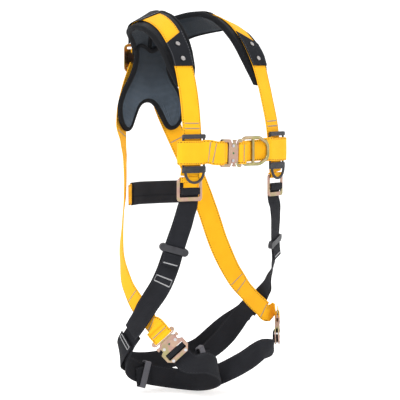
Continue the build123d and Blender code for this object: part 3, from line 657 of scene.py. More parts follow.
@dataclass
class Ribbon:
    """Flat woven strap through its stations, with a rounded selvedge and a slight crown."""

    name: str
    stations: list[Station]
    finish: Finish
    width: float | list[float] = WEB_WIDTH
    thick: float | list[float] = WEB_THICK
    step: float = 4.0
    crown: float = 0.25
    slant: float = 0.0
    body: str = "harness"
    sections: list[Section] = field(default_factory=list)

    def __post_init__(self) -> None:
        """Work out the smooth run of sections through the stations."""
        count = len(self.stations)
        widths = self.width if isinstance(self.width, list) else [self.width] * count
        thicks = self.thick if isinstance(self.thick, list) else [self.thick] * count
        points = [Vector(s[:3]) for s in self.stations]
        across = [Vector(s[3:6]).normalized() for s in self.stations]
        for i in range(1, count):  # a station that points the other way would turn the webbing over
            if across[i].dot(across[i - 1]) < 0:
                across[i] = -across[i]
        chords = [(b - a).length for a, b in zip(points, points[1:])]
        tangents = []
        for i in range(count):
            if i == 0:
                tangents.append((points[1] - points[0]) / chords[0])
            elif i == count - 1:
                tangents.append((points[-1] - points[-2]) / chords[-1])
            else:
                before, after = chords[i - 1], chords[i]
                slope = (points[i] - points[i - 1]) / before * after + (points[i + 1] - points[i]) / after * before
                tangents.append(slope / (before + after))
        run = 0.0
        last = points[0]
        for i, chord in enumerate(chords):
            parts = max(2, round(chord / self.step))
            for k in range(parts + (i == len(chords) - 1)):
                t = k / parts
                h = (2 * t**3 - 3 * t**2 + 1, t**3 - 2 * t**2 + t, -2 * t**3 + 3 * t**2, t**3 - t**2)
                point = (points[i] * h[0] + tangents[i] * (h[1] * chord) + points[i + 1] * h[2]
                         + tangents[i + 1] * (h[3] * chord))
                d = (6 * t**2 - 6 * t, 3 * t**2 - 4 * t + 1, -6 * t**2 + 6 * t, 3 * t**2 - 2 * t)
                travel = (points[i] * d[0] + tangents[i] * (d[1] * chord) + points[i + 1] * d[2]
                          + tangents[i + 1] * (d[3] * chord)).normalized()
                turn = t * t * (3 - 2 * t)
                side = across[i] * (1 - turn) + across[i + 1] * turn
                side = (side - travel * side.dot(travel)).normalized()
                run += (point - last).length
                last = point
                self.sections.append(Section(point, side, travel, travel.cross(side), run,
                                             widths[i] * (1 - t) + widths[i + 1] * t,
                                             thicks[i] * (1 - t) + thicks[i + 1] * t))
        self.marks = [0.0] + [self._mark(i) for i in range(1, count)]
        middle = self.sections[len(self.sections) // 2]
        inside = Vector((0, 20, min(middle.point.z, 640)))
        if middle.out.dot(middle.point - inside) < 0:
            for section in self.sections:
                section.out = -section.out

    def _mark(self, index: int) -> float:
        """The run at one station."""
        target = Vector(self.stations[index][:3])
        return min(self.sections, key=lambda s: (s.point - target).length).run

    @property
    def length(self) -> float:
        """The strap's length in millimetres."""
        return self.sections[-1].run

    def at(self, run: float) -> Section:
        """The section at a run, between its neighbours.

        Args:
            run: how far along the strap, in millimetres.

        Returns:
            The section there.
        """
        run = min(max(run, 0.0), self.length)
        for a, b in zip(self.sections, self.sections[1:]):
            if b.run >= run:
                t = (run - a.run) / max(b.run - a.run, 1e-6)
                mixed = [getattr(a, n).lerp(getattr(b, n), t) for n in ("point", "across", "travel", "out")]
                return Section(*mixed, run, a.width * (1 - t) + b.width * t, a.thick * (1 - t) + b.thick * t)
        return self.sections[-1]

    def run_at(self, station: float) -> float:
        """The run at a station number, between stations too."""
        index = min(int(station), len(self.marks) - 2)
        return self.marks[index] + (self.marks[index + 1] - self.marks[index]) * (station - index)

    def build(self, *nodes: str, loops: Sequence["Band"] = ()) -> bpy.types.Object:
        """Make the strap's mesh.

        Args:
            nodes: the CAD nodes that it stands for.
            loops: closed bands sewn to it, such as an eye round a bar.

        Returns:
            The piece.
        """
        shell = Shell(self.crown)
        shell.strip(self.sections, False, self.slant, self.length)
        for loop in loops:
            shell.strip(loop.sections(), True)
        return shell.piece(self.name, self.finish, self.body, nodes)


@dataclass
class Band:
    """Webbing sewn into a closed loop round a bar."""

    centre: Vector
    first: Vector
    second: Vector
    bar_first: float
    bar_second: float
    width: float = WEB_WIDTH
    thick: float = WEB_THICK
    gap: float = 0.4
    corner: float = 1.5

    def sections(self) -> list[Section]:
        """The loop's sections, in order round the bar.

        Returns:
            The sections.
        """
        away = self.gap + self.thick / 2
        half_a, half_b = self.bar_first / 2 + away, self.bar_second / 2 + away
        radius = min(self.corner, half_a, half_b)
        first, second = self.first.normalized(), self.second.normalized()
        axis = first.cross(second).normalized()
        made: list[Section] = []
        run = 0.0
        for turn, (sign_a, sign_b) in enumerate(((1, 1), (-1, 1), (-1, -1), (1, -1))):
            middle = self.centre + first * (sign_a * (half_a - radius)) + second * (sign_b * (half_b - radius))
            for step in range(6):
                angle = math.pi / 2 * (turn + step / 5)
                out = first * math.cos(angle) + second * math.sin(angle)
                point = middle + out * radius
                run += (point - made[-1].point).length if made else 0.0
                made.append(Section(point, axis, axis.cross(out), out, run, self.width, self.thick))
        return made


@dataclass
class Shell:
    """Closed woven surfaces gathered into one mesh."""

    crown: float = 0.0
    points: list[Vector] = field(default_factory=list)
    faces: list[tuple[int, ...]] = field(default_factory=list)
    flats: list[tuple[float, float]] = field(default_factory=list)
    edges: list[float] = field(default_factory=list)

    def outline(self, section: Section) -> list[tuple[float, float]]:
        """The cross-section's closed outline as (across, outward).

        Args:
            section: the cross-section.

        Returns:
            The outline, corner by corner.
        """
        half = section.thick / 2
        flat = section.width / 2 - half
        places = [flat * (2 * k / 10 - 1) for k in range(11)]
        bulge = [self.crown * (1 - (u / flat) ** 2) for u in places]
        top = [(u, half + b) for u, b in zip(places, bulge)]
        low = [(u, b - half) for u, b in zip(places, bulge)][::-1]
        turn = [(math.cos(a) * half, math.sin(a) * half) for a in (math.pi / 3, 0, -math.pi / 3)]
        right = [(flat + x, y) for x, y in turn]
        left = [(-flat - x, y) for x, y in turn[::-1]]
        return top + right + low + left

    def strip(self, sections: Sequence[Section], closed: bool, slant: float = 0.0, length: float = 1.0) -> None:
        """Add one strip.

        Args:
            sections: its cross-sections in order.
            closed: whether its end meets its start.
            slant: how far one edge runs ahead at its start.
            length: the run over which that slant fades.
        """
        start = len(self.points)
        ring = len(self.outline(sections[0]))
        for s in sections:
            fade = slant * max(0.0, 1 - s.run / length)
            for u, h in self.outline(s):
                self.points.append(s.point + s.across * u + s.out * h + s.travel * (fade * u / (s.width / 2)))
                self.flats.append((u / 1000, s.run / 1000))
                self.edges.append((s.width / 2 - abs(u)) / 1000)
        count = len(sections)
        for i in range(count if closed else count - 1):
            a, b = start + i * ring, start + (i + 1) % count * ring
            for k in range(ring):
                n = (k + 1) % ring
                self.faces.append((a + k, a + n, b + n, b + k))
        if not closed:
            last = start + (count - 1) * ring
            self.faces.append(tuple(start + k for k in range(ring)))
            self.faces.append(tuple(last + k for k in range(ring))[::-1])

    def piece(self, name: str, finish: Finish, body: str = "harness", nodes: Sequence[str] = ()) -> bpy.types.Object:
        """Make the gathered surfaces one piece.

        Args:
            name: the piece's name.
            finish: its finish.
            body: the CAD body that it rides on.
            nodes: the CAD nodes that it stands for.

        Returns:
            The piece.
        """
        obj = PieceMaker.mesh(name, self.points, self.faces, finish, body)
        tidy = bmesh.new()
        tidy.from_mesh(obj.data)
        bmesh.ops.recalc_face_normals(tidy, faces=tidy.faces)
        tidy.to_mesh(obj.data)
        tidy.free()
        flat = obj.data.uv_layers.new(name="Flat")
        for loop in obj.data.loops:
            flat.data[loop.index].uv = self.flats[loop.vertex_index]
        obj.data.attributes.new("edge", "FLOAT", "POINT").data.foreach_set("value", self.edges)
        if nodes:
            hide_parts(*nodes)
        LOG.info("%s: %d faces", name, len(obj.data.polygons))
        return obj


@dataclass
class Stitching:
    """Rows of raised thread on one ribbon."""

    name: str
    ribbon: Ribbon
    finish: Finish
    body: str = "harness"
    radius: float = 0.62
    through: bool = True
    points: list[Vector] = field(default_factory=list)
    faces: list[tuple[int, ...]] = field(default_factory=list)

    def thread(self, run_a: float, u_a: float, run_b: float, u_b: float, side: int = 1) -> None:
        """One stitch between two places on the ribbon's face.

        Args:
            run_a: the first place along the ribbon.
            u_a: the first place across it.
            run_b: the second place along it.
            u_b: the second place across it.
            side: 1 for the outer face, -1 for the inner one.
        """
        for face in (1, -1) if self.through else (side,):
            self.single(run_a, u_a, run_b, u_b, face)

    def single(self, run_a: float, u_a: float, run_b: float, u_b: float, side: int) -> None:
        """One raised stitch on one face, between two places given as in thread.

        Args:
            run_a: the first place along the ribbon.
            u_a: the first place across it.
            run_b: the second place along it.
            u_b: the second place across it.
            side: 1 for the outer face, -1 for the inner one.
        """
        ends = []
        for run, u in ((run_a, u_a), (run_b, u_b)):
            s = self.ribbon.at(run)
            crown = self.ribbon.crown * (1 - (2 * u / s.width) ** 2)
            ends.append((s.point + s.across * u + s.out * (side * s.thick / 2 + crown), s.out * side))
        (a, up), (b, _) = ends
        way = (b - a).normalized()
        flat = way.cross(up).normalized()
        base = len(self.points)
        for t, size, lift in ((0.0, 0.35, -0.15), (0.18, 0.9, 0.12), (0.82, 0.9, 0.12), (1.0, 0.35, -0.15)):
            for k in range(6):
                angle = math.pi / 3 * k
                self.points.append(a.lerp(b, t) + flat * (math.cos(angle) * self.radius * size)
                                   + up * (math.sin(angle) * self.radius * size + lift))
        for row in range(3):
            for k in range(6):
                n = (k + 1) % 6
                self.faces.append((base + row * 6 + k, base + row * 6 + n, base + row * 6 + 6 + n,
                                   base + row * 6 + 6 + k))
        self.faces.append(tuple(base + k for k in range(6))[::-1])
        self.faces.append(tuple(base + 18 + k for k in range(6)))

    def bar(self, run: float, inset: float = 3.4, pitch: float = 1.5, depth: float = 2.6, side: int = 1) -> None:
        """A bar tack straight across the ribbon.

        Args:
            run: where it is along the ribbon.
            inset: how far it stays from both edges.
            pitch: the distance between its stitches.
            depth: how far each stitch reaches along.
            side: 1 for the outer face, -1 for the inner one.
        """
        half = self.ribbon.at(run).width / 2 - inset
        count = round(2 * half / pitch)
        for k in range(count):
            u = -half + (k + 0.5) * 2 * half / count
            self.thread(run - depth / 2, u - 0.75, run + depth / 2, u + 0.75, side)

    def row(self, start: float, end: float, u: float, pitch: float = 3.4, side: int = 1) -> None:
        """A running stitch along the ribbon.

        Args:
            start: where it starts.
            end: where it ends.
            u: its place across.
            pitch: the distance between its stitches.
            side: 1 for the outer face, -1 for the inner one.
        """
        count = max(1, round((end - start) / pitch))
        size = (end - start) / count
        for k in range(count):
            self.thread(start + (k + 0.18) * size, u, start + (k + 0.82) * size, u, side)

    def box(self, start: float, end: float, inset: float = 3.4, side: int = 1) -> None:
        """A box of stitching: two bars joined along both edges.

        Args:
            start: its first bar.
            end: its second bar.
            inset: how far it stays from both edges.
            side: 1 for the outer face, -1 for the inner one.
        """
        self.bar(start, inset, side=side)
        self.bar(end, inset, side=side)
        half = self.ribbon.at(start).width / 2 - inset
        for u in (-half, half):
            self.row(start, end, u, 2.4, side)

    def build(self) -> bpy.types.Object:
        """Make the stitches one piece.

        Returns:
            The piece.
        """
        obj = PieceMaker.mesh(self.name, self.points, self.faces, self.finish, self.body)
        flat = obj.data.uv_layers.new(name="Flat")
        for loop in obj.data.loops:
            x, y, z = obj.data.vertices[loop.vertex_index].co
            flat.data[loop.index].uv = (x + y, z)
        obj.data.attributes.new("edge", "FLOAT", "POINT").data.foreach_set("value", [0.01] * len(obj.data.vertices))
        LOG.info("%s: %d faces", self.name, len(obj.data.polygons))
        return obj


def planes_of(route: Sequence[Station]) -> list[Section]:
    """The plane across a route at each station, as the frame has it.

    Args:
        route: its stations.

    Returns:
        One section at each station.
    """
    points = [Vector(station[:3]) for station in route]
    made = []
    for i, station in enumerate(route):
        ways = [(b - a).normalized() for a, b in zip(points, points[1:])][max(i - 1, 0):i + 1]
        travel = sum(ways[1:], ways[0]).normalized()
        across = Vector(station[3:6])
        across = (across - travel * across.dot(travel)).normalized()
        out = travel.cross(across)
        inside = Vector((0, 20, min(points[i].z, 640)))
        if out.dot(points[i] - inside) < 0:
            out = -out
        made.append(Section(points[i], across, travel, out, 0.0, WEB_WIDTH, WEB_THICK))
    return made


def raised(route: Sequence[Station], distance: float) -> list[Station]:
    """A route moved away from the wearer, square to the webbing."""
    return [(*(plane.point + plane.out * distance), *station[3:6]) for plane, station in zip(planes_of(route), route)]


# ---- sub-assemblies ----
@dataclass
class Binding:
    """Tape sewn over a pad's edge: a rounded tube round its outline."""

    name: str
    path: list[Vector]
    outs: list[Vector]
    wide: float = 5.6
    deep: float = 6.3
    ring: int = 12

    def build(self) -> bpy.types.Object:
        """Make the tape's mesh, in millimetres.

        Returns:
            The piece.
        """
        points, flats, faces = [], [], []
        count = len(self.path)
        run = 0.0
        for i, (point, out) in enumerate(zip(self.path, self.outs)):
            travel = (self.path[(i + 1) % count] - self.path[i - 1]).normalized()
            out = (out - travel * out.dot(travel)).normalized()
            side = travel.cross(out)
            run += (point - self.path[i - 1]).length if i else 0.0
            for k in range(self.ring):
                angle = 2 * math.pi * k / self.ring
                points.append(point + side * (math.cos(angle) * self.wide) + out * (math.sin(angle) * self.deep))
                flats.append((abs(angle - math.pi) * self.wide / 1000, run / 1000))
        for i in range(count):
            a, b = i * self.ring, (i + 1) % count * self.ring
            for k in range(self.ring):
                n = (k + 1) % self.ring
                faces.append((a + k, b + k, b + n, a + n))
        shell = Shell()
        shell.points, shell.faces, shell.flats, shell.edges = points, faces, flats, [0.01] * len(points)
        return shell.piece(self.name, BLACK_TAPE)


@dataclass
class Yoke:
    """The padded yoke: the back pad, both shoulder pads, their binding, flaps, covers and snaps."""

    levels: tuple = ((538, 164), (600, 166), (655, 160), (700, 154), (745, 148))
    bend: float = 286.8
    outline: tuple = ((0, 716), (20, 730), (44, 734), (50, 720), (46, 700), (54, 666), (84, 628), (97, 594),
                      (91, 560), (72, 541), (52, 544), (38, 570), (22, 598), (0, 606))
    pad_widths: tuple = (50, 56, 66, 76, 86, 90, 90, 88, 84, 78, 68, 44)
    flap_widths: tuple = (55.0, 53.0, 50.0)
    cell: float = 4.0

    def depth(self, x: float, z: float) -> float:
        """The back pad's middle depth at a place across and up it.

        Args:
            x: how far across.
            z: how far up.

        Returns:
            The depth in millimetres.
        """
        levels = self.levels
        z = min(max(z, levels[0][0]), levels[-1][0])
        for (z0, y0), (z1, y1) in zip(levels, levels[1:]):
            if z <= z1:
                y = y0 + (y1 - y0) * (z - z0) / (z1 - z0)
                break
        return y - (self.bend - math.sqrt(self.bend**2 - x * x)) + PAD_THICK / 2

    def rounded_outline(self) -> list[Vector]:
        """The back pad's closed outline with its corners eased, every few millimetres.

        Returns:
            The outline as points across and up.
        """
        half = list(self.outline)
        line = [Vector(p) for p in half + [(-x, z) for x, z in half[-2:0:-1]]]
        for _ in range(3):
            line = [p for a, b in zip(line, line[1:] + line[:1]) for p in (a.lerp(b, 0.25), a.lerp(b, 0.75))]
        return line

    def back_pad(self) -> None:
        """The crowned back pad with its lining on the wearer's side."""
        line = self.rounded_outline()
        ends = list(zip(line, line[1:] + line[:1]))

        def gap(p: Vector) -> float:
            """How far a place is from the outline.

            Args:
                p: the place, across and up.

            Returns:
                The distance in millimetres.
            """
            best = 1e9
            for a, b in ends:
                way = b - a
                t = min(max((p - a).dot(way) / max(way.length_squared, 1e-9), 0.0), 1.0)
                best = min(best, (p - a - way * t).length)
            return best

        def inside(p: Vector) -> bool:
            """Whether a place is within the outline.

            Args:
                p: the place, across and up.

            Returns:
                True within the outline.
            """
            odd = False
            for a, b in ends:
                if (a.y > p.y) != (b.y > p.y) and p.x < (b.x - a.x) * (p.y - a.y) / (b.y - a.y) + a.x:
                    odd = not odd
            return odd

        grid = [Vector((x * self.cell, z * self.cell)) for x in range(-26, 27) for z in range(133, 186)]
        middle = [p for p in grid if inside(p) and gap(p) > 2.2]
        flat = line + middle
        edges = [(i, (i + 1) % len(line)) for i in range(len(line))]
        found = delaunay_2d_cdt(flat, edges, [list(range(len(line)))], 1, 1e-4)
        verts, tris = found[0], found[2]
        rim = {i for i, p in enumerate(verts) if gap(p) < 0.05}
        points, lining = [], []
        for way in (1, -1):
            for i, p in enumerate(verts):
                d = gap(p)
                ease = min(d / 20, 1.0)
                swell = 3.4 + 2.9 * ease * ease * (3 - 2 * ease) - 1.4 * math.exp(-((d - 14) / 1.3) ** 2)
                swell = 0.0 if i in rim else swell
                points.append(Vector((p.x, self.depth(p.x, p.y) + way * swell, p.y)))
                lining.append(0.0 if way > 0 else 1.0)
        count = len(verts)
        faces = [tuple(t) for t in tris] + [tuple(i + count for i in t)[::-1] for t in tris]
        pad = PieceMaker.mesh("back_pad_cushion", points, faces, PAD_CLOTH)
        self.make_padded(pad, lining, "back_pad")
        inset = [self.toward(p, line) for p in line]
        path = [Vector((p.x, self.depth(p.x, p.y), p.y)) for p in inset]
        Binding("back_pad_binding", path, [Vector((0, 1, 0))] * len(path)).build()
        LOG.info("back_pad_cushion: %d faces", len(pad.data.polygons))

    @staticmethod
    def make_padded(pad: bpy.types.Object, lining: Sequence[float], node: str) -> None:
        """Mark a pad's lining, weld its rim and stand it in for its CAD node.

        Args:
            pad: the pad.
            lining: 1 at each vertex on the wearer's side, or else 0.
            node: the CAD node.
        """
        work = bmesh.new()
        work.from_mesh(pad.data)
        layer = work.verts.layers.float.new("lining")
        for vert, value in zip(work.verts, lining):
            vert[layer] = value
        bmesh.ops.remove_doubles(work, verts=work.verts, dist=1e-6)
        bmesh.ops.recalc_face_normals(work, faces=work.faces)
        work.to_mesh(pad.data)
        work.free()
        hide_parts(node)

    @staticmethod
    def toward(point: Vector, line: Sequence[Vector]) -> Vector:
        """A place on the outline moved 4.5 mm inwards.

        Args:
            point: the place on the outline.
            line: the outline.

        Returns:
            The moved place.
        """
        i = min(range(len(line)), key=lambda k: (line[k] - point).length)
        way = (line[(i + 1) % len(line)] - line[i - 1]).normalized()
        return point + Vector((way.y, -way.x)) * 4.5 if Yoke.clockwise(line) else point + Vector((-way.y, way.x)) * 4.5

    @staticmethod
    def clockwise(line: Sequence[Vector]) -> bool:
        """Whether an outline runs clockwise."""
        return sum(a.x * b.y - b.x * a.y for a, b in zip(line, [*line[1:], line[0]])) < 0

    def shoulder_pad(self, side: Side) -> None:
        """One shoulder pad with its binding.

        Args:
            side: the wearer's side.
        """
        route = [side.station(station) for station in SHOULDER_ROUTE]
        low = raised(route, -(WEB_THICK + PAD_THICK) / 2 - 1.5)[0:12]
        run = Ribbon("pad", low, PAD_CLOTH, [float(w) for w in self.pad_widths], PAD_THICK, 5.0)
        steps = 20
        points, lining, faces = [], [], []
        total = run.length
        for s in run.sections:
            taper = min(1.0, min(s.run, total - s.run) / 14)
            for way in (1, -1):
                for k in range(steps + 1):
                    u = (2 * k / steps - 1) * (s.width / 2 - 2.5)
                    d = min(s.width / 2 - abs(u), min(s.run, total - s.run) + 4)
                    ease = min(d / 17, 1.0)
                    swell = 3.4 + 2.9 * ease * ease * (3 - 2 * ease) - 1.4 * math.exp(-((d - 13.5) / 1.3) ** 2)
                    swell *= 0.0 if k in (0, steps) else 0.75 + 0.25 * taper
                    points.append(s.point + s.across * u + s.out * (way * swell))
                    lining.append(0.0 if way > 0 else 1.0)
        row = 2 * (steps + 1)
        for i in range(len(run.sections) - 1):
            for base in (0, steps + 1):
                for k in range(steps):
                    a = i * row + base + k
                    faces.append((a, a + 1, a + row + 1, a + row))
        for i in (0, len(run.sections) - 1):
            for k in range(steps):
                a = i * row + k
                faces.append((a, a + 1, a + steps + 2, a + steps + 1))
        pad = PieceMaker.mesh(f"shoulder_pad_{side.label}_cushion", points, faces, PAD_CLOTH)
        self.make_padded(pad, lining, f"shoulder_pad_{side.label}")
        path, outs = [], []
        for sign, order in ((1, run.sections), (-1, run.sections[::-1])):
            for s in order:
                path.append(s.point + s.across * (sign * (s.width / 2 - 5.4)))
                outs.append(s.out)
            end = order[-1]
            for k in range(1, 6):
                u = sign * (end.width / 2 - 5.4) * (1 - 2 * k / 6)
                path.append(end.point + end.across * u)
                outs.append(end.out)
        Binding(f"shoulder_pad_{side.label}_binding", path, outs).build()
        LOG.info("%s: %d faces", pad.name, len(pad.data.polygons))

    def flap(self, side: Side) -> None:
        """One keeper flap, the cover behind it and the flap's snaps.

        Args:
            side: the wearer's side.
        """
        route = [side.station(station) for station in SHOULDER_ROUTE]
        over = raised(route, (WEB_THICK + 2.0) / 2 + 1.3)
        flap = Ribbon(f"keeper_flap_{side.label}_cloth", over[8:11], FLAP_CLOTH, list(self.flap_widths), 2.0, 3.0,
                      slant=16.0)
        flap.build(f"keeper_flap_{side.label}")
        cover = Ribbon(f"shoulder_cover_{side.label}", raised(route, 2.0), FLAP_CLOTH, 60.0, 1.6)
        first, last = cover.run_at(1.5), cover.run_at(5.4)
        cover.sections = [s for s in cover.sections if first <= s.run <= last]
        for s in cover.sections:
            s.run -= first
        cover.build()
        sewing = Stitching(f"cover_stitching_{side.label}", cover, PALE_THREAD, radius=0.3)
        sewing.bar(cover.length - 5, 4.5, depth=1.2)
        sewing.build()
        planes = planes_of(over)
        for first in (8, 9):
            start, end = planes[first], planes[first + 1]
            out = (end.point - start.point).cross(start.across + end.across).normalized()
            out = out if out.dot(start.out) > 0 else -out
            Hardware.snap_cap(f"snap_cap_{side.label}_{first - 7}", start.point.lerp(end.point, 0.55) + out * 3.55, out)

    def build(self) -> None:
        """Make the whole yoke."""
        self.back_pad()
        for side in Side:
            self.shoulder_pad(side)
            self.flap(side)


@dataclass
class ShoulderStraps:
    """The yellow straps over the shoulders, sewn round the torso adjusters' top rails."""

    rail_at: float = 21.0
    rail_size: tuple = (6.0, 4.0)
    tacks: tuple = (13.1, 13.38, 15.3, 15.55)

    def build(self) -> None:
        """Make both straps."""
        for side in Side:
            place = adjuster_place(side)
            strap = Ribbon(f"shoulder_web_{side.label}", [side.station(s) for s in SHOULDER_ROUTE], YELLOW_WEB)
            eye = Band(place.point(0, self.rail_at, 0), place.across, place.out, *self.rail_size)
            strap.build(f"shoulder_strap_{side.label}", loops=[eye])
            sewing = Stitching(f"shoulder_stitching_{side.label}", strap, GREY_THREAD)
            for station in self.tacks:
                sewing.bar(strap.run_at(station), 5.0)
            sewing.build()


@dataclass
class BackStraps:
    """The yellow straps from the dorsal plate down to the leg buckles' tongues, and the lumbar strap."""

    tacks: dict = field(default_factory=lambda: {Side.LEFT: (3.3, 8.2, 8.55, 10.6), Side.RIGHT: (3.3, 9.6, 11.7)})

    def build(self) -> None:
        """Make the back straps, the lumbar strap and its sleeve."""
        for side in Side:
            place = LEG_PLACES[side]
            end = [place.station(-60, -8.4), place.station(-44, -6.4)]
            strap = Ribbon(f"back_web_{side.label}", BACK_SIDED[side] + end, YELLOW_WEB)
            strap.build(f"back_strap_{side.label}")
            sewing = Stitching(f"back_stitching_{side.label}", strap, GREY_THREAD)
            for station in self.tacks[side]:
                sewing.bar(strap.run_at(station), 4.0)
            sewing.build()
        Ribbon("lumbar_web", LUMBAR_ROUTE, YELLOW_WEB).build("lumbar_strap")
        sleeve = Ribbon("lumbar_cover", LUMBAR_ROUTE[1:6], BLACK_WEB, SLEEVE_WIDTH, 7.2, crown=0.6)
        sleeve.build("lumbar_sleeve")
        sewing = Stitching("lumbar_stitching", sleeve, BLACK_TAPE, radius=0.55)
        for way in (1, -1):
            sewing.row(4, sleeve.length - 4, -6.0, 4.0, way)
            for run in (4, sleeve.length - 4):
                sewing.bar(run, 4.0, side=way)
        sewing.build()


@dataclass
class ChestBand:
    """The sleeved chest straps, from behind the shoulder straps to the buckle and sternal ring."""

    sleeve_thick: float = 5.0

    def turn(self, side: Side) -> list[Station]:
        """A sleeve's way round its shoulder strap's outer edge."""
        place = keeper_place(side)
        return [place.station(side.value * x, z, UP) for x, z in CHEST_TURN]

    def build(self) -> None:
        """Make both chest straps."""
        buckle = CHEST_PLACE
        sleeve = self.turn(Side.RIGHT) + [(-92, -123, 507.5, 0, 0, 1)]
        sleeve += [buckle.station(x, z, UP) for x, z in ((34, 9.4), (15, 9.3))]
        web = [buckle.station(x, z, UP) for x, z in ((13.2, 7.1), (6.3, 2.9))]
        strap = Ribbon("chest_web_right", sleeve + web, YELLOW_WEB, [SLEEVE_WIDTH] * len(sleeve) + [WEB_WIDTH] * 2,
                       [self.sleeve_thick] * len(sleeve) + [WEB_THICK] * 2, 2.5)
        strap.build("chest_strap_right", loops=[Band(buckle.point(4.5, 0, 0), buckle.along, buckle.out, 5.0, 2.6)])
        sewing = Stitching("chest_stitching_right", strap, GREY_THREAD)
        for station in (9.15, 9.75):
            sewing.bar(strap.run_at(station), 4.5)
        sewing.build()
        sleeve = self.turn(Side.LEFT) + [(90, -121.5, 507.5, 0, 0, 1), (77, -119.2, 506.5, 0, 0, 1)]
        strap = Ribbon("chest_web_left", sleeve + CHEST_WEAVE, YELLOW_WEB,
                       [SLEEVE_WIDTH] * len(sleeve) + [WEB_WIDTH] * len(CHEST_WEAVE),
                       [self.sleeve_thick] * len(sleeve) + [WEB_THICK] * len(CHEST_WEAVE), 2.5)
        strap.build("chest_strap_left")
        sewing = Stitching("chest_stitching_left", strap, GREY_THREAD)
        sewing.bar(strap.run_at(9.6), 4.5)
        sewing.bar(strap.run_at(13.6), 4.5)
        sewing.build()


@dataclass
class HipStraps:
    """The black straps from the torso adjusters to the hip junction, and their free ends."""

    path: tuple = ((-9.5, -0.6), (-14.6, -4.2), (-27, -4.4))
    bar_at: float = -3.0
    tail: tuple = ((9.0, 3.2), (20.0, 4.2), (36.0, 6.5))

    def build(self) -> None:
        """Make both hip straps and their free ends."""
        for side in Side:
            place = adjuster_place(side)
            top = [(*place.point(0, up, out), *place.along) for up, out in self.path]
            route = [side.station(station) for station in HIP_ROUTES[side]]
            strap = Ribbon(f"hip_web_{side.label}", top + route, BLACK_WEB)
            eye = Band(place.point(0, self.bar_at, 0), place.across, place.out, 9.0, 4.5)
            strap.build(f"hip_strap_{side.label}", loops=[eye])
            sewing = Stitching(f"hip_stitching_{side.label}", strap, PALE_THREAD)
            sewing.box(strap.run_at(7.55), strap.run_at(7.87), 5.0)
            sewing.build()
            plane = planes_of(route)[3]
            down = plane.out.cross(plane.across)
            down = down if down.z < 0 else -down
            free = [(*(plane.point + down * drop + plane.out * out), *plane.across) for drop, out in self.tail]
            tail = Ribbon(f"hip_tail_{side.label}", free, BLACK_WEB, WEB_WIDTH - 3, step=3.0)
            tail.build(f"hip_strap_tail_{side.label}")
            sewing = Stitching(f"hip_tail_stitching_{side.label}", tail, PALE_THREAD)
            sewing.bar(tail.length - 6, 5.0)
            sewing.build()


@dataclass
class SeatAndLegs:
    """The seat strap, the leg straps sewn to their buckles, and the elastic that holds each free end."""

    lead: tuple = ((40, -8.2), (17.5, -7.9), (13.2, -7.1), (6.3, -2.9))
    tail: tuple = ((-20, 13), (0, 4.5), (14, -1.5))

    def build(self) -> None:
        """Make the seat strap and both leg straps."""
        seat = Ribbon("seat_web", SEAT_ROUTE, BLACK_WEB)
        seat.build("seat_strap")
        sewing = Stitching("seat_stitching", seat, PALE_THREAD)
        sewing.box(5, 15, 5.0)
        sewing.box(seat.length - 24, seat.length - 13, 5.0)
        sewing.build()
        for side in Side:
            place = LEG_PLACES[side]
            route = [side.station(station) for station in LEG_ROUTES[side]]
            strap = Ribbon(f"leg_web_{side.label}", route + [place.station(x, z) for x, z in self.lead], BLACK_WEB)
            eye = Band(place.point(4.5, 0, 0), place.along, place.out, 5.0, 2.6)
            strap.build(f"leg_strap_{side.label}", loops=[eye])
            start, end = planes_of(route)[4:6]
            travel = (end.point - start.point).normalized()
            across = (start.across + end.across).normalized()
            across = (across - travel * across.dot(travel)).normalized()
            middle = (start.point + end.point) / 2
            out = travel.cross(across)
            out = out if out.dot(middle - Vector((0, 20, middle.z))) > 0 else -out
            free = [(*(middle + travel * run - across * drop - out * 4.2), *across) for run, drop in self.tail]
            Ribbon(f"leg_tail_{side.label}", free, BLACK_WEB, WEB_WIDTH - 5, step=3.0).build(
                f"leg_strap_tail_{side.label}")
            shell = Shell()
            band = Band(middle - out * 2.1 - across * 3, across, out, 59 - 2.4, 13 - 2.4, 16.0, 1.2, 0.0, 2.5)
            shell.strip(band.sections(), True)
            shell.piece(f"leg_elastic_{side.label}", GREY_ELASTIC, "harness", [f"leg_keeper_{side.label}"])


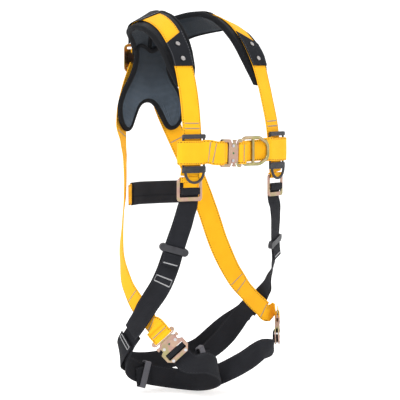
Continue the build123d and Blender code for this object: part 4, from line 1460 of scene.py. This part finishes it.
class Tool:
    """Short calls for modelling one hard piece with the ordinary tools."""

    @staticmethod
    def clear() -> None:
        """Leave edit mode with nothing selected."""
        if bpy.context.object and bpy.context.object.mode == "EDIT":
            bpy.ops.object.mode_set(mode="OBJECT")
        bpy.ops.object.select_all(action="DESELECT")

    @staticmethod
    def disc(name: str, at: Vector, out: Vector, radius: float, depth: float, sides: int = 28) -> bpy.types.Object:
        """A round blank whose face looks along out, ready to be shaped in edit mode.

        Args:
            name: the piece's name.
            at: its middle, in millimetres.
            out: the way its face looks.
            radius: its radius in millimetres.
            depth: its thickness in millimetres.
            sides: how many sides its rim has.

        Returns:
            The blank, selected and active, with its place in its mesh.
        """
        Tool.clear()
        turn = out.to_track_quat("Z", "Y").to_euler()
        bpy.ops.mesh.primitive_cylinder_add(vertices=sides, radius=radius / 1000, depth=depth / 1000,
                                            location=tuple(at / 1000), rotation=turn)
        obj = bpy.context.object
        obj.name = obj.data.name = name
        bpy.ops.object.transform_apply(location=True, rotation=True, scale=True)
        return obj

    @staticmethod
    def pick_face(obj: bpy.types.Object, way: Vector) -> None:
        """Select only the face that looks most nearly along way, in edit mode.

        Args:
            obj: the active object.
            way: the direction.
        """
        bpy.ops.object.mode_set(mode="EDIT")
        bpy.ops.mesh.select_mode(type="FACE")
        work = bmesh.from_edit_mesh(obj.data)
        for face in work.faces:
            face.select = False
        best = max(work.faces, key=lambda f: f.normal.dot(way) * 10 + f.calc_area() * 1000)
        best.select = True
        work.select_flush(True)
        bmesh.update_edit_mesh(obj.data)

    @staticmethod
    def ease(obj: bpy.types.Object, width: float) -> None:
        """Round every sharp edge a little and apply it.

        Args:
            obj: the active object.
            width: how wide the rounding is, in millimetres.
        """
        bpy.ops.object.mode_set(mode="OBJECT")
        bevel = obj.modifiers.new("Edge", "BEVEL")
        bevel.width, bevel.segments, bevel.limit_method = width / 1000, 2, "ANGLE"
        bpy.ops.object.modifier_apply(modifier=bevel.name)


@dataclass
class Hardware:
    """Steel and plastic: finishes for the CAD nodes and the small parts added to them."""

    finishes: tuple = (
        ("_rivets", BRIGHT_STEEL), ("_plate", PLATED_STEEL), ("_tongue", PLATED_STEEL), ("_tab_", PLATED_STEEL),
        ("torso_adjuster", PLATED_STEEL), ("_ring", RING_STEEL), ("lanyard_keeper", DARK_PLASTIC),
        ("hip_keeper", DARK_PLASTIC), ("flap_snaps", SNAP_STEEL))

    @staticmethod
    def snap_cap(name: str, at: Vector, out: Vector) -> None:
        """A domed snap cap with a dished middle.

        Args:
            name: the piece's name.
            at: its middle, in millimetres.
            out: the way its face looks.
        """
        cap = Tool.disc(name, at, out, 4.9, 1.0)
        Tool.pick_face(cap, out)
        bpy.ops.mesh.inset(thickness=0.0011)
        bpy.ops.transform.translate(value=tuple(out * 0.00045))
        bpy.ops.mesh.inset(thickness=0.0012)
        bpy.ops.transform.translate(value=tuple(out * -0.0004))
        Tool.ease(cap, 0.2)
        PieceMaker.dress(cap, SNAP_STEEL)

    def dots(self) -> None:
        """The small green indicator in each buckle's front plate."""
        places = {"chest_buckle": CHEST_PLACE, "leg_buckle_left": LEG_PLACES[Side.LEFT],
                  "leg_buckle_right": LEG_PLACES[Side.RIGHT]}
        for name, place in places.items():
            dot = Tool.disc(f"{name}_indicator", place.point(-15, 0, 3.7), place.out, 1.8, 1.2, 20)
            Tool.pick_face(dot, place.out)
            bpy.ops.mesh.inset(thickness=0.0005)
            bpy.ops.transform.translate(value=tuple(place.out * 0.0003))
            Tool.ease(dot, 0.15)
            PieceMaker.dress(dot, GREEN_DOT)

    def ribs(self) -> None:
        """Grip ribs across each lanyard keeper's base."""
        for side in Side:
            place = keeper_place(side)
            for row in range(4):
                at = place.point(0, -39.6 + row * 3.1, 10.5)
                rib = Tool.disc(f"keeper_rib_{side.label}_{row + 1}", at, place.along, 0.75, 40.0, 10)
                for way in (place.along, -place.along):
                    Tool.pick_face(rib, way)
                    bpy.ops.mesh.extrude_region_move(TRANSFORM_OT_translate={"value": tuple(way * 0.0015)})
                    bpy.ops.transform.resize(value=(0.5, 0.5, 0.5))
                Tool.ease(rib, 0.1)
                PieceMaker.dress(rib, DARK_PLASTIC)

    def tongue_loops(self) -> None:
        """The webbing loop sewn to each buckle's tongue, moving with it."""
        places = {"chest_buckle": (CHEST_PLACE, CHEST_PLACE.across), "leg_buckle_left": (LEG_PLACES[Side.LEFT], None),
                  "leg_buckle_right": (LEG_PLACES[Side.RIGHT], None)}
        for name, (place, across) in places.items():
            body = f"{name}_tongue"
            route = [place.station(x, 0, across) for x in (-40, -46, -53)]
            loop = Ribbon(f"{name}_loop_web", route, YELLOW_WEB, step=2.0, body=body)
            eye = Band(place.point(-36, 0, 0), place.along, place.out, 5.0, 3.0)
            loop.build(f"{name}_tongue_loop", loops=[eye])
            sewing = Stitching(f"{name}_loop_stitching", loop, GREY_THREAD, body)
            sewing.bar(6.0, 4.5)
            sewing.build()

    def build(self) -> None:
        """Give every CAD node that stays its finish, and add the small parts."""
        self.tongue_loops()
        self.dots()
        self.ribs()
        for name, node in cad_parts.items():
            if node.hide_render:
                continue
            finish = next((f for key, f in self.finishes if key in name), DARK_PLASTIC)
            node.data.materials.clear()
            node.data.materials.append(finish.material())
            LOG.info("%s keeps its shape, in %s", name, finish.name)


@dataclass
class Studio:
    """Pale floor and backdrop, soft lights and the camera."""

    azimuth: float = -42.8
    elevation: float = 3.95
    distance: float = 4.5
    target: tuple = (0.0, 0.0, 0.3966)
    lens: float = 188.4
    floor: float = -0.0195
    floor_radius: float = 6.5
    wall_radius: float = 2.6
    wall_steps: int = 9

    def away(self, azimuth: float, elevation: float) -> Vector:
        """The direction from the harness to a place round it."""
        a, e = math.radians(azimuth), math.radians(elevation)
        return Vector((math.sin(a) * math.cos(e), -math.cos(a) * math.cos(e), math.sin(e)))

    def light(self, name: str, azimuth: float, elevation: float, distance: float, size: float, power: float) -> None:
        """One soft light that looks at the harness.

        Args:
            name: the light's name.
            azimuth: its direction round the harness, in degrees.
            elevation: its height above level, in degrees.
            distance: how far off it is, in metres.
            size: how wide it is, in metres.
            power: its power in watts.
        """
        data = bpy.data.lights.new(name, "AREA")
        data.energy, data.size, data.shape = power, size, "DISK"
        lamp = bpy.data.objects.new(name, data)
        bpy.context.scene.collection.objects.link(lamp)
        away = self.away(azimuth, elevation)
        lamp.location = Vector(self.target) + away * distance
        lamp.rotation_euler = away.to_track_quat("Z", "Y").to_euler()

    def build(self) -> None:
        """Make the set."""
        Tool.clear()
        bpy.ops.mesh.primitive_circle_add(vertices=96, radius=self.floor_radius, fill_type="NGON",
                                          location=(0, 0, self.floor))
        floor = bpy.context.object
        floor.name = "studio_floor"
        bpy.ops.object.mode_set(mode="EDIT")
        turn = math.pi / 2 / self.wall_steps
        for step in range(2, self.wall_steps + 1):
            angle = turn * step
            rise = self.wall_radius * (math.cos(angle - turn) - math.cos(angle))
            wide = ((self.floor_radius + self.wall_radius * math.sin(angle))
                    / (self.floor_radius + self.wall_radius * math.sin(angle - turn)))
            bpy.ops.mesh.extrude_region_move(TRANSFORM_OT_translate={"value": (0, 0, rise)})
            bpy.ops.transform.resize(value=(wide, wide, 1))
        bpy.ops.mesh.delete(type="ONLY_FACE")  # the extrusion's cap would be a ceiling
        bpy.ops.object.mode_set(mode="OBJECT")
        pale = bpy.data.materials.new("Studio paper")
        pale.use_nodes = True
        shader = pale.node_tree.nodes["Principled BSDF"]
        shader.inputs["Base Color"].default_value = colour(0.85, 0.85, 0.85)
        shader.inputs["Roughness"].default_value = 1.0
        shader.inputs["Emission Color"].default_value = colour(1.0, 1.0, 1.0)
        shader.inputs["Emission Strength"].default_value = 0.3
        floor.data.materials.append(pale)
        world = bpy.data.worlds.new("Studio")
        world.use_nodes = True
        world.node_tree.nodes["Background"].inputs["Color"].default_value = colour(1.0, 1.0, 1.0)
        world.node_tree.nodes["Background"].inputs["Strength"].default_value = 1.2
        bpy.context.scene.world = world
        self.light("key", -75, 40, 2.6, 1.4, 22)
        self.light("fill", 20, 25, 3.0, 1.8, 9)
        self.light("rim", 150, 45, 2.6, 1.2, 15)
        camera = bpy.data.objects.new("camera", bpy.data.cameras.new("camera"))
        bpy.context.scene.collection.objects.link(camera)
        away = self.away(self.azimuth, self.elevation)
        camera.location = Vector(self.target) + away * self.distance
        camera.rotation_euler = away.to_track_quat("Z", "Y").to_euler()
        camera.data.lens, camera.data.sensor_width = self.lens, 36.0
        camera.data.clip_start, camera.data.clip_end = 0.05, 60.0
        bpy.context.scene.camera = camera
        bpy.context.scene.view_settings.view_transform = "Standard"


BACK_SIDED: dict[Side, list[Station]] = {side: [side.station(s) for s in BACK_ROUTES[side]] for side in Side}


def main() -> None:
    """Build every sub-assembly in order."""
    logging.basicConfig(level=logging.INFO, format="%(message)s")
    for part in (Yoke(), ShoulderStraps(), BackStraps(), ChestBand(), HipStraps(), SeatAndLegs(), Hardware(), Studio()):
        part.build()
        LOG.info("%s done", type(part).__name__)
    Tool.clear()
    bpy.context.view_layer.update()


if __name__ == "__main__":
    main()
